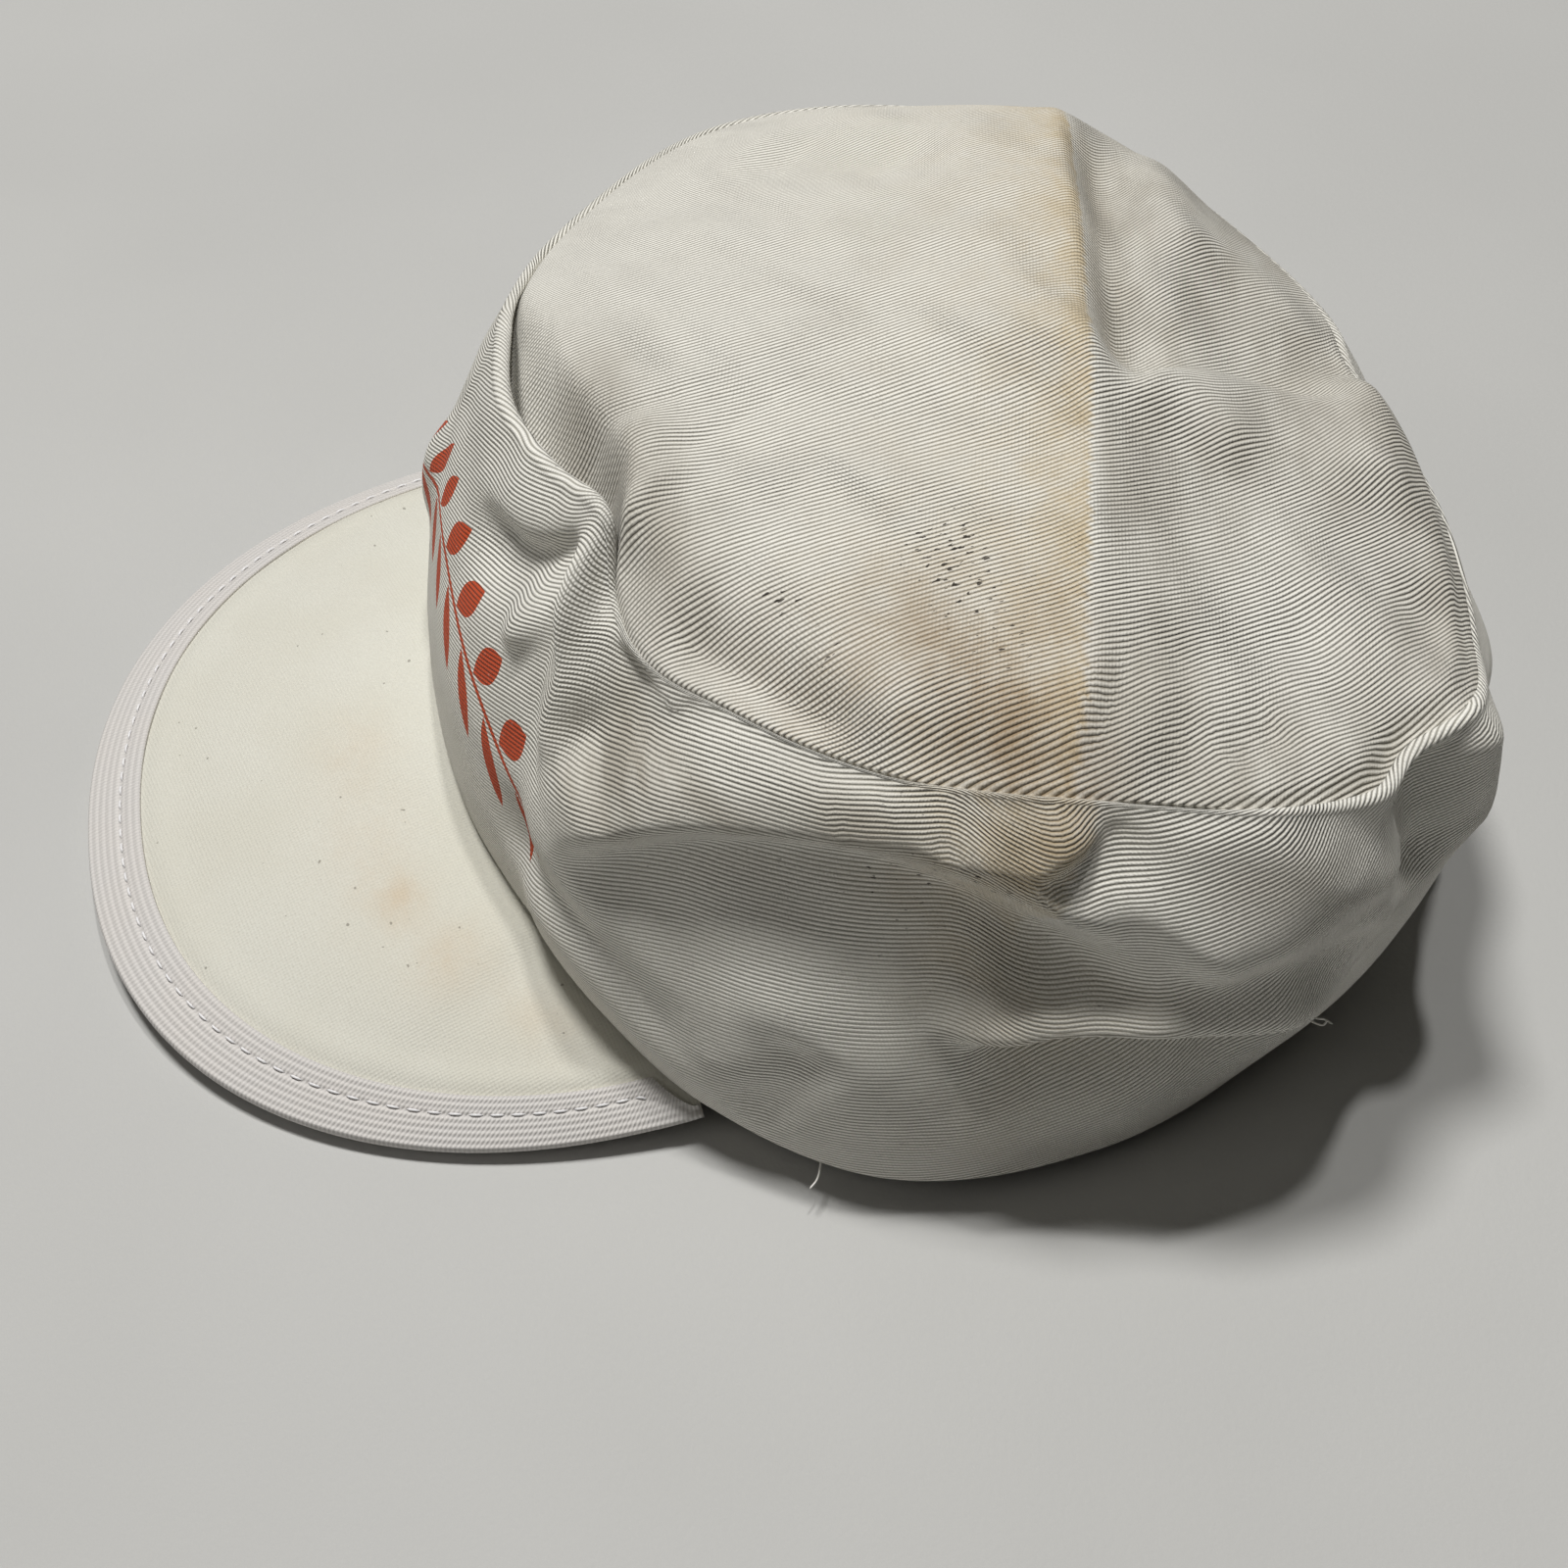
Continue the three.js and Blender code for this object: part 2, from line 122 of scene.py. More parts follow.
# Folds of the top panel in plan: points (x, y), then the same values
TOP_FOLDS = [
    ([(-72, 50), (-39, 42), (4, 32.5), (36, 24.5)], 6, 17, 36, 2),
    ([(-4, 34.5), (45, 22), (68, 15.5), (96, 7)], 2.6, 17, 30, 2),
    ([(-74, 50), (-39, 42), (4, 32.5), (45, 22), (91, 8.5)], 1.5, 5, 3.5, 1.1),
    ([(-56, 56), (-30, 46), (-8, 41), (10, 37), (28, 31)], -6.5, 7, 4.5, 2),
    ([(-50, 62), (-26, 57), (-4, 58)], 2.4, 6, 5, 2),
    ([(20, 30), (14, 44), (15, 60), (22, 78)], -4.5, 16, 5, 2),
    ([(8, -38), (19, -38), (27, -40), (34, -45)], 3, 7, 4, 1.8),
    ([(20, 36), (27, 43), (37, 51)], 2.0, 5, 6, 1.8),
    ([(12, 78), (29, 73), (46, 66)], 4, 7, 8, 2),
    ([(74, 13), (78, 20), (80, 30)], -2.4, 9, 9, 2),
    ([(90, 13), (82, 20), (70, 29)], 1.6, 5, 4, 2),
    ([(86, 31), (82, 35), (79, 41)], -1.8, 3.4, 4, 2),
    ([(56, 74), (72, 68), (88, 61)], -5.5, 5, 6, 2),
    ([(60, 46), (72, 50), (84, 46)], -1.0, 9, 8, 2),
    ([(-60, -8), (-44, 6), (-38, 26)], -3, 12, 10, 2),
    ([(44, -44), (55, -34), (64, -25), (74, -14)], -4, 9, 4, 2),
]

# How far the top panel stands over the seam near it, by angle
NEAR_RISE = [(-180, 0), (30, 0), (45, 3.5), (65, 4.5), (90, 4), (108, 1.5), (115, 0), (180, 0)]

# The dish where the top panel sinks behind the rolled edge of the band: how wide it is, by angle,
# and how steeply its floor falls towards the edge
DISH_WIDTH = [(-180, 0), (-40, 0), (-20, 8), (0, 12.5), (14, 13.5), (24, 12.5), (30, 9), (35, 4),
              (38, 0), (180, 0)]
DISH_SLOPE = [(-180, 0), (-40, 0.2), (-12, 1.2), (4, 2.4), (18, 3.0), (38, 2.5), (60, 0), (180, 0)]
DISH_DEPTH = 15.0
DISH_ROUNDING = 1.2
DISH_REACH = 25

# How far the top panel rolls over the seam and hides it, by angle
ROLL = [(-180, 0), (126, 0), (134, 4), (146, 5), (162, 5), (172, 2), (180, 0)]

# Half the width of the rolled edge of the side band at the top seam, by angle
LIP = [(-180, 0.9), (-34, 0.9), (-20, 1.35), (30, 1.35), (36, 0.9), (44, 0.5), (52, 0.3), (80, 0.3),
       (86, 0.55), (97, 0.55), (101, 0.35), (106, 0.4), (111, 0.8), (118, 1.15), (150, 1.15), (180, 1.0)]

# How steeply the ribs of the side band's twill climb along its length, by angle
WALE_SLOPE = [(-180, 0.30), (20, 0.45), (50, 0.50), (62, 0.24), (80, 0.14), (91, 0.20), (99, 0.22),
              (108, 0.45), (130, 0.50), (180, 0.30)]
WALE_PITCH = 0.72
YARN_PITCH = 0.55

# Stains of the side band, the first under the crease and cut off at its line, and last the painted shade
# of the band in patches under the seam and on its flank:
# strength, angle, rise, width in degrees, height in rise
SIDE_CREASE_STAIN = [(0.90, 91, 0.95, 9, 0.22)]
SIDE_YELLOW = [(0.30, 87, 0.62, 7, 0.14), (0.22, 97, 0.45, 10, 0.20), (0.16, 93, 0.10, 9, 0.16)]
SIDE_BROWN = [(0.30, 92, 0.98, 5, 0.10), (0.16, 80, 0.80, 7, 0.10), (0.12, 85, 0.20, 8, 0.15)]
SIDE_DIRT = [(0.50, 84, 0.83, 8, 0.12)]
# Painted shade: darker patches under the seam and on the flank of the band, where the folds throw shade
SIDE_PAINTED_SHADE = [(0.95, 46, 0.80, 9, 0.12), (0.65, 60, 0.87, 12, 0.07), (0.80, 77, 0.93, 9, 0.06),
             (0.60, 97, 0.97, 6, 0.05), (0.45, 110, 0.88, 6, 0.07)]

# Stains of the top panel, and last the painted shade of the panel in the dish and along the near seam:
# strength, x, y, half length, half width, and their turn in degrees
TOP_YELLOW = [(0.25, 62, -6, 20, 16, 0)]
TOP_BROWN = [(0.75, 75, 0, 14, 9, 20), (0.50, 85, 8, 9, 7, 0), (0.35, 60, -7, 13, 10, 0),
             (0.40, 64, 12, 9, 5, 0), (0.30, 62, -24, 12, 8, 40)]
TOP_DIRT = [(1.0, 50, 0, 9, 7, 0), (0.9, 49, -24, 3, 3, 0), (0.7, 58, -19, 4, 3, 0), (0.6, 64, 3, 9, 6, 0)]
# Painted shade: darker spots in the dish and along the near seam; the negative spots take away the painted
# shade behind the crease where the panel is lit
TOP_PAINTED_SHADE = [(-0.60, 64, 46, 14, 14, 0), (-0.35, 24, 44, 8, 10, 0), (0.70, 12, -43, 22, 9, 0),
            (0.50, 40, -37, 16, 8, 0)]

# Stains of the visor, in the same columns
VISOR_BROWN = [(0.60, 34, -84, 5, 4, 0), (0.50, 46, -78, 5, 7, 30), (0.25, 22, -88, 16, 9, 0),
               (0.25, 2, -88, 8, 7, 0), (0.30, 58, -66, 10, 5, 40)]

# Points closer than this, in metres, are one point
MERGE_DISTANCE = 1e-7

# The line of the crease over the top panel, y as a curve of x
CREASE = (33.5, -0.262, -0.00042)


def by_angle(rows, angle):
    """A value read from a table of (angle, value)."""
    turned = np.mod(angle + 180, 360) - 180
    return np.interp(turned, [row[0] for row in rows], [row[1] for row in rows])


def section_value(angle, column):
    """A smooth closed curve through the sections, for one of their columns."""
    place, value = SECTIONS[:, 0], SECTIONS[:, column]
    count = len(SECTIONS)
    turned = np.mod(angle, 360.0)
    k = np.searchsorted(place, turned, side="right") - 1

    def row(i, source, wrap):
        return source[np.mod(i, count)] + wrap * np.floor_divide(i, count)

    start, end = row(k, place, 360.0), row(k + 1, place, 360.0)
    t = (turned - start) / (end - start)
    v0, v1 = row(k, value, 0), row(k + 1, value, 0)
    slope0 = (v1 - row(k - 1, value, 0)) / (end - row(k - 1, place, 360.0)) * (end - start)
    slope1 = (row(k + 2, value, 0) - v0) / (row(k + 2, place, 360.0) - start) * (end - start)
    return ((2 * t**3 - 3 * t**2 + 1) * v0 + (t**3 - 2 * t**2 + t) * slope0
            + (-2 * t**3 + 3 * t**2) * v1 + (t**3 - t**2) * slope1)


def spline(points, steps=6):
    """A smooth open line through the points."""
    p = np.array(points, float)
    p = np.vstack([2 * p[0] - p[1], p, 2 * p[-1] - p[-2]])
    out = []
    for i in range(1, len(p) - 2):
        a, b, c, d = p[i - 1:i + 3]
        for s in np.linspace(0, 1, steps, endpoint=False):
            out.append(0.5 * (2 * b + (c - a) * s + (2 * a - 5 * b + 4 * c - d) * s**2
                              + (3 * b - a - 3 * c + d) * s**3))
    out.append(p[-2])
    return np.array(out)


def smooth(x):
    """An even step from 0 to 1."""
    x = np.clip(x, 0, 1)
    return x * x * (3 - 2 * x)


def fold_height(x, y, line, height, left, right, crest):
    """How high one fold stands at x, y: most on its line, less over its width and at both ends."""
    best = np.full(x.shape, 1e9)
    on_left = np.zeros(x.shape, bool)
    along = np.zeros(x.shape)
    for i in range(len(line) - 1):
        (ax, ay), (dx, dy) = line[i], line[i + 1] - line[i]
        t = np.clip(((x - ax) * dx + (y - ay) * dy) / (dx * dx + dy * dy), 0, 1)
        ex, ey = x - ax - t * dx, y - ay - t * dy
        distance = np.hypot(ex, ey)
        near = distance < best
        best = np.where(near, distance, best)
        on_left = np.where(near, dx * ey - dy * ex > 0, on_left)
        along = np.where(near, (i + t) / (len(line) - 1), along)
    width = np.where(on_left, left, right)
    rounded = np.sqrt(best**2 + 0.25) - 0.5 if crest < 2 else best
    return height * smooth(np.minimum(along, 1 - along) / FOLD_END) * np.exp(-(rounded / width) ** crest)


def noise(x, y, seed):
    """Smooth random hills one unit wide, from -1 to 1."""
    table = np.random.default_rng(seed).uniform(-1, 1, (64, 64))
    i, j = np.floor(x).astype(int), np.floor(y).astype(int)
    u, v = smooth(x - i), smooth(y - j)
    a = table[i % 64, j % 64] * (1 - u) + table[(i + 1) % 64, j % 64] * u
    b = table[i % 64, (j + 1) % 64] * (1 - u) + table[(i + 1) % 64, (j + 1) % 64] * u
    return a * (1 - v) + b * v


def wrinkles(x, y, seed):
    """The soft small wrinkles of handled cloth, in millimetres."""
    bent = x + 6 * noise(x / 31, y / 27, seed)
    broad = noise(bent / 24, y / 18, seed + 1) * 0.7
    ridged = 0.5 - np.abs(noise(bent / 21, y / 13, seed + 2))
    fine = noise(bent / 8.5, y / 7, seed + 3) * 0.07
    where = smooth(0.5 + noise(x / 37, y / 41, seed + 4))
    return broad + ridged * 0.6 * where + fine


def side_folds(angle, rise):
    """How far the folds move the side band out, less close to the seam and to the hem."""
    total = np.zeros(np.broadcast(angle, rise).shape)
    for points, height, left, right, crest in SIDE_FOLDS:
        line = spline(points) * (GIRTH_DEGREE, BAND_LENGTH)
        middle = 0.5 * (points[0][0] + points[-1][0])
        near = np.mod(angle - middle + 180, 360) - 180 + middle
        total = total + fold_height(near * GIRTH_DEGREE, rise * BAND_LENGTH, line,
                                    height, left, right, crest)
    shoulder = 1 - (1 - np.clip(14 * (1 - rise), 0, 1)) ** 2.5
    return total * shoulder * np.clip(0.35 + 4 * rise, 0, 1)


def side_radius(angle, rise):
    """The outer face of the side band, as a distance from the head's axis."""
    hem, seam = section_value(angle, HEM_RADIUS), section_value(angle, SEAM_RADIUS)
    bulge = 4 * rise * (1 - rise) * section_value(angle, BULGE)
    turned = np.mod(angle + WRINKLE_START, 360)
    edge_fade = np.clip(8 * (1 - rise), 0, 1) * np.clip(0.3 + 6 * rise, 0, 1)
    start_fade = np.clip(np.minimum(turned, 360 - turned) / WRINKLE_FADE, 0, 1)
    small = SIDE_WRINKLES * wrinkles(turned * GIRTH_DEGREE, rise * BAND_LENGTH, 11)
    return hem + (seam - hem) * rise + bulge + side_folds(angle, rise) + small * edge_fade * start_fade


def side_height(angle, rise):
    """How high the side band's outer face is."""
    hem = np.maximum(0, section_value(angle, HEM_HEIGHT))
    return hem + (section_value(angle, SEAM_HEIGHT) - by_angle(ROLL, angle) - hem) * rise


def around(angle, radius, height):
    """Points from their angle, distance from the head's axis, and height."""
    turn = np.radians(angle)
    return np.stack(np.broadcast_arrays(radius * np.sin(turn), -radius * np.cos(turn), height), -1)


def arch_rise(angle):
    """Where the cloth starts over the opening at the back, as a rise."""
    across = (np.mod(angle, 360.0) - 180) / ARCH_HALF_ANGLE
    return ARCH_TOP * np.sqrt(np.maximum(0, 1 - across**2))


def crown_angles():
    """Columns from one foot of the arch round the front to the other, then over the arch."""
    sweep = 360 - 2 * ARCH_HALF_ANGLE
    count = round(sweep / COLUMN_STEP)
    plain = -180 + ARCH_HALF_ANGLE + sweep * np.arange(count) / count
    arch = 180 - ARCH_HALF_ANGLE * np.cos(np.pi * np.arange(ARCH_COLUMNS) / ARCH_COLUMNS)
    return np.concatenate([plain, arch])


def add_object(name, data):
    added = bpy.data.objects.new(name, data)
    bpy.context.scene.collection.objects.link(added)
    return added


def close_mesh(mesh, merge):
    """Turn all faces out, with points that coincide joined first where merge asks for it."""
    work = bmesh.new()
    work.from_mesh(mesh)
    if merge:
        bmesh.ops.remove_doubles(work, verts=work.verts, dist=MERGE_DISTANCE)
    bmesh.ops.recalc_face_normals(work, faces=work.faces)
    work.to_mesh(mesh)
    work.free()
    mesh.shade_smooth()


def make_mesh(name, grid, maps, closed_round, closed_loop, values=None):
    """A mesh from grid[column][point] in millimetres, with named uv maps, also in millimetres."""
    columns, points = grid.shape[:2]
    spans = columns if closed_round else columns - 1
    steps = points if closed_loop else points - 1
    i, j = np.meshgrid(np.arange(spans), np.arange(steps), indexing="ij")
    i, j = i.ravel(), j.ravel()
    corners = [(i, j), (i + 1, j), (i + 1, j + 1), (i, j + 1)]
    faces = np.stack([(a % columns) * points + b % points for a, b in corners], -1)
    face_maps = {label: np.stack([uv[a, b % points] for a, b in corners], 1)
                 for label, uv in maps.items()}
    if not closed_round:
        pair = np.arange(points // 2 - 1)
        for column, order in ((0, 1), (columns - 1, -1)):
            quad = np.stack([pair, pair + 1, points - 2 - pair, points - 1 - pair], -1)[:, ::order]
            faces = np.concatenate([faces, column * points + quad])
            face_maps = {label: np.concatenate([face_maps[label], uv[column][quad]])
                         for label, uv in maps.items()}
    mesh = bpy.data.meshes.new(name)
    mesh.from_pydata(((grid.reshape(-1, 3) - ORIGIN) * MM).tolist(), [], faces.tolist())
    for label, face_uv in face_maps.items():
        layer = mesh.uv_layers.new(name=label)
        layer.data.foreach_set("uv", face_uv.reshape(-1).astype(np.float32))
    for label, value in (values or {}).items():
        spots = mesh.attributes.new(label, "FLOAT", "POINT")
        spots.data.foreach_set("value", np.asarray(value, np.float32).reshape(-1))
    close_mesh(mesh, True)
    return add_object(name, mesh)


def blob(x, y, cx, cy, rx, ry, turn=0.0):
    """A soft oval spot, 1 in its middle."""
    c, s = math.cos(math.radians(turn)), math.sin(math.radians(turn))
    a, b = ((x - cx) * c + (y - cy) * s) / rx, ((y - cy) * c - (x - cx) * s) / ry
    return np.exp(-(a * a + b * b))


def stains(x, y, rows):
    """How stained each point is, or how much painted shade it takes, from a table of spots."""
    return sum(strength * blob(x, y, *place) for strength, *place in rows)


def edge_curl(distance):
    """How far a face draws back near a rounded edge, at a distance from that edge."""
    return CLOTH_HALF - np.sqrt(np.maximum(0, CLOTH_HALF**2 - np.maximum(0, CLOTH_HALF - distance) ** 2))


# Side band, from the hem up its outer face, over the rolled edge and down its inner face.
# Its even rows start over four closer ones at the hem.
OUTER_ROWS, INNER_ROWS = 86, 44
FIRST_ROW = 1.4 / BAND_LENGTH
INNER_TOP = 0.98
ANGLES = crown_angles()
side_angle = ANGLES[:, None]
foot = arch_rise(side_angle)
close_rows = np.array([0, 0.15, 0.4, 0.8]) / BAND_LENGTH
outer_rise = np.concatenate([close_rows, np.linspace(FIRST_ROW, 1, OUTER_ROWS)])[None, :]
inner_rise = np.concatenate([np.linspace(INNER_TOP, FIRST_ROW, INNER_ROWS), close_rows[::-1]])[None, :]
outer = foot + (1 - foot) * outer_rise
inner = foot + (1 - foot) * inner_rise
outer_radius = side_radius(side_angle, outer) - edge_curl((outer - foot) * BAND_LENGTH)
inner_radius = side_radius(side_angle, inner) - 2 * CLOTH_HALF + edge_curl((inner - foot) * BAND_LENGTH)
lip_turn = np.radians(np.array([20, 45, 70, 95, 120, 145, 170, 190]))[None, :]
lip = by_angle(LIP, side_angle)
seam_radius = section_value(side_angle, SEAM_RADIUS)
seam_height = section_value(side_angle, SEAM_HEIGHT) - by_angle(ROLL, side_angle)
side_grid = np.concatenate([
    around(side_angle, outer_radius, side_height(side_angle, outer)),
    around(side_angle, seam_radius - lip + lip * np.cos(lip_turn), seam_height + lip * np.sin(lip_turn)),
    around(side_angle, inner_radius, side_height(side_angle, inner)),
], 1)

# Its flat map: u is the way round the middle of the band, v the way up the cloth, both in millimetres.
# The weave map also follows the slope of the twill's ribs.
MIDDLE_HEIGHT = 40.0
LIP_RISE = 0.012
RIB_COSINE = 0.98
middle_radius = section_value(ANGLES, HEM_RADIUS) * 0.5 + section_value(ANGLES, SEAM_RADIUS) * 0.5
middle_line = around(ANGLES, middle_radius + section_value(ANGLES, BULGE), MIDDLE_HEIGHT)
steps_round = np.linalg.norm(np.roll(middle_line, -1, 0) - middle_line, axis=1)


def running_total(steps):
    """The total up to each column, 0 at the front."""
    total = np.concatenate([[0], np.cumsum(steps)])
    return total - np.interp(0, ANGLES, total[:-1])


girth = running_total(steps_round)
climb = running_total(steps_round * by_angle(WALE_SLOPE, ANGLES))
lip_rise = np.repeat(1 + LIP_RISE * lip_turn, len(ANGLES), 0)
rise_all = np.concatenate([outer, lip_rise, inner], 1)
rows_up = np.linspace(-0.05, 1.1, 116)
row_grid = rows_up[None, :]
profile = np.stack([side_radius(side_angle, row_grid), side_height(side_angle, row_grid)], -1)
steps_up = np.linalg.norm(np.diff(profile, axis=1), axis=-1)
arc = np.concatenate([np.zeros((len(ANGLES), 1)), np.cumsum(steps_up, 1)], 1)
for _ in range(3):
    arc = 0.25 * np.roll(arc, 1, 0) + 0.5 * arc + 0.25 * np.roll(arc, -1, 0)
side_v = np.stack([np.interp(rise_all[k], rows_up, arc[k]) for k in range(len(ANGLES))])
side_v = np.vstack([side_v, side_v[:1]])
side_u = np.repeat(girth[:, None], rise_all.shape[1], 1)
side_maps = {"flat": np.stack([side_u, side_v], -1),
             "weave": np.stack([side_u, (side_v - climb[:, None]) * RIB_COSINE], -1)}

# Its stains, the one under the crease cut off along a slanted line, and its painted shade
crease_end = 97.5 - 20 * (1 - rise_all)
side_yellow = (stains(side_angle, rise_all, SIDE_CREASE_STAIN) * (side_angle < crease_end)
               + stains(side_angle, rise_all, SIDE_YELLOW))
crown_side = make_mesh("crown_side_cloth", side_grid, side_maps, True, True,
                       {"yellow": side_yellow, "brown": stains(side_angle, rise_all, SIDE_BROWN),
                        "dirt": stains(side_angle, rise_all, SIDE_DIRT) + 0.25,
                        "painted_shade": stains(side_angle, rise_all, SIDE_PAINTED_SHADE)})


# Top panel
def top_plan(angle, reach):
    """Where a point of the top panel lies in plan: reach 0 at its middle, 1 at the seam."""
    rim, turn = section_value(angle, SEAM_RADIUS), np.radians(angle)
    dx, dy = rim * np.sin(turn), -rim * np.cos(turn) - TOP_CENTRE_Y
    full = np.hypot(dx, dy)
    oval = full / np.hypot(dx / TOP_OVAL[0], dy / TOP_OVAL[1])
    far = reach * (oval + (full - oval) * reach**5)
    return dx / full * far, TOP_CENTRE_Y + dy / full * far, full


def top_height(angle, reach):
    """The top panel's outer face: x, y and height."""
    x, y, full = top_plan(angle, reach)
    seam_height = section_value(angle, SEAM_HEIGHT)
    gentle = sum(section_value(angle + turn, SEAM_HEIGHT) for turn in range(-24, 25, 8)) / 7
    rim_rise = (gentle - TOP_CENTRE_Z) * reach**RIM_POWER + (seam_height - gentle) * reach**9
    height = TOP_CENTRE_Z + rim_rise + TOP_DOME * (1 - reach**DOME_POWER)
    folds = np.zeros(x.shape)
    for points, fold, left, right, crest in TOP_FOLDS:
        folds = folds + fold_height(x, y, spline(points), fold, left, right, crest)
    inward = (1 - reach) * full
    height = height + folds * np.clip(14 * (0.985 - reach), 0, 1)
    height = height + by_angle(NEAR_RISE, angle) * smooth(inward / 14) * reach**2
    into_dish = by_angle(DISH_WIDTH, angle) - inward
    sink = 0.5 * (into_dish + np.sqrt(into_dish**2 + DISH_ROUNDING)) * (inward < DISH_REACH)
    wall = by_angle(DISH_SLOPE, angle) * sink
    height = height - DISH_DEPTH * np.tanh(wall / DISH_DEPTH)
    height = height - by_angle(ROLL, angle) * (1 - np.sqrt(1 - np.clip(1 - inward / 5, 0, 1) ** 2))
    height = height + wrinkles(x, y, 5) * TOP_WRINKLES * smooth((inward - 2) / 10)
    edge = by_angle(LIP, angle)
    lift = TOP_CLEAR + TOP_LIFT * smooth(inward / 20)
    under = np.maximum(0, inward - 1.6 * edge) / (0.9 * edge)
    groove = 0.25 + 1.7 * edge * smooth((edge - 0.3) / 0.5)
    return x, y, height + lift - groove * np.exp(-under * under)


# Rows of its upper and lower faces, with those close to the seam by their distance from it
TOP_ROWS, UNDER_ROWS = 62, 36
RIM_DISTANCES = np.array([12, 10.2, 8.5, 7, 5.7, 4.6, 3.8, 3.2, 2.7, 2.2, 1.8, 1.4, 1.15, 0.9, 0.7])
rim_rows = 1 - RIM_DISTANCES / TOP_RADIUS
inner_rows = np.linspace(0.022, rim_rows[0] - 0.014, TOP_ROWS)
top_reach = np.concatenate([[0, 0.008], inner_rows, rim_rows])[None, :]
under_reach = np.concatenate([np.linspace(rim_rows[-1], 0.02, UNDER_ROWS), [0]])[None, :]
top_x, top_y, top_z = top_height(side_angle, top_reach)
under_x, under_y, under_z = top_height(side_angle, under_reach)
top_grid = np.stack([np.concatenate([top_x, under_x], 1), np.concatenate([top_y, under_y], 1),
                     np.concatenate([top_z, under_z - 2 * CLOTH_HALF], 1)], -1)

# Its stains, the yellow one ending sharply at the crease, its painted shade behind the crease and in
# spots, and its maps
plan_x, plan_y = top_grid[..., 0], top_grid[..., 1]
before_crease = CREASE[0] + CREASE[1] * plan_x + CREASE[2] * plan_x**2 - plan_y
ahead = np.maximum(before_crease, 0)
behind = np.exp(-((before_crease + 3) / 4) ** 2) * smooth((40 - np.abs(plan_x + 15)) / 20)
top_yellow = ((0.80 * np.exp(-ahead / 6) + 0.45 * np.exp(-ahead / 24)) * (before_crease > -0.6)
              + 0.25 * behind + stains(plan_x, plan_y, TOP_YELLOW))
# Painted shade: the panel is darker behind the crease, where it turns away from the light
top_painted_shade = 0.58 * smooth(-before_crease / 4) + stains(plan_x, plan_y, TOP_PAINTED_SHADE)
across_top = 0.998 * plan_x + 0.06 * plan_y + 0.0035 * np.maximum(plan_y, 0) ** 2
top_maps = {"flat": np.stack([plan_x, plan_y], -1), "weave": np.stack([plan_y, across_top], -1)}
top_maps = {label: np.concatenate([uv, uv[:1]]) for label, uv in top_maps.items()}
crown_top = make_mesh("crown_top_cloth", top_grid, top_maps, True, False,
                      {"yellow": top_yellow, "brown": stains(plan_x, plan_y, TOP_BROWN),
                       "dirt": stains(plan_x, plan_y, TOP_DIRT) + 0.12, "painted_shade": top_painted_shade})

# Visor
VISOR_BOARD = 2.0
VISOR_HALF_WIDTH = 80.0
VISOR_REACH = 85.0
VISOR_BACK = -50.0
VISOR_POWER = 2 / 2.2
VISOR_SWEEP = 94
VISOR_SHIFT, TIP_SHIFT = -2, 5
EDGE_HEIGHT, TIP_LIFT, TEMPLE_LIFT = 1.9, 3.5, 3.6
VISOR_TEMPLE_ANGLE = 60
VISOR_CAMBER = 0.05
VISOR_PUFF = 0.55
VISOR_UNEVEN = 0.15
VISOR_ROWS = 40
VISOR_COLUMNS = 240
BINDING_WIDTH = 9.5
HEM_INSET = 1.5


def visor_edge(turn):
    """The outer edge, from -1 at the right temple round the tip to 1 at the left one."""
    angle = np.radians(VISOR_SWEEP * turn)
    across = np.sign(angle) * np.abs(np.sin(angle)) ** VISOR_POWER
    ahead = np.sign(np.cos(angle)) * np.abs(np.cos(angle)) ** VISOR_POWER
    forward = np.cos(angle) ** 2
    return np.stack([VISOR_HALF_WIDTH * across + VISOR_SHIFT + TIP_SHIFT * forward,
                     VISOR_BACK - VISOR_REACH * ahead,
                     EDGE_HEIGHT + TIP_LIFT * forward + TEMPLE_LIFT * turn**6], -1)


def visor_root(turn):
    """The line where the visor meets the hem."""
    angle = VISOR_TEMPLE_ANGLE * turn
    radius = section_value(angle, HEM_RADIUS) + side_folds(angle, 0 * angle) - HEM_INSET
    return around(angle, radius, np.maximum(0, section_value(angle, HEM_HEIGHT)) - SEAM_GAP)


def visor_face(turn, out):
    """Points of the visor's upper face, out 0 under the hem and 1 at the edge, and the way up."""
    def at(t, o):
        root, edge = visor_root(t), visor_edge(t)
        span = np.linalg.norm(edge - root, axis=-1)
        point = root + (edge - root) * o[..., None]
        point[..., 2] += 4 * o * (1 - o) * VISOR_CAMBER * span
        return point, span
    here, span = at(turn, out)
    outward = at(turn, out + 0.01)[0] - here
    along = at(turn + 0.01, out)[0] - at(turn - 0.01, out)[0]
    normal = np.cross(outward, along)
    normal /= np.linalg.norm(normal, axis=-1)[..., None]
    return here, normal, span


def visor_turns(count):
    """Evenly spaced columns along the outer edge."""
    fine = np.linspace(-1, 1, 1200)
    run = np.concatenate([[0], np.cumsum(np.linalg.norm(np.diff(visor_edge(fine), axis=0), axis=1))])
    places = np.linspace(0, run[-1], count)
    return np.interp(places, run, fine), places


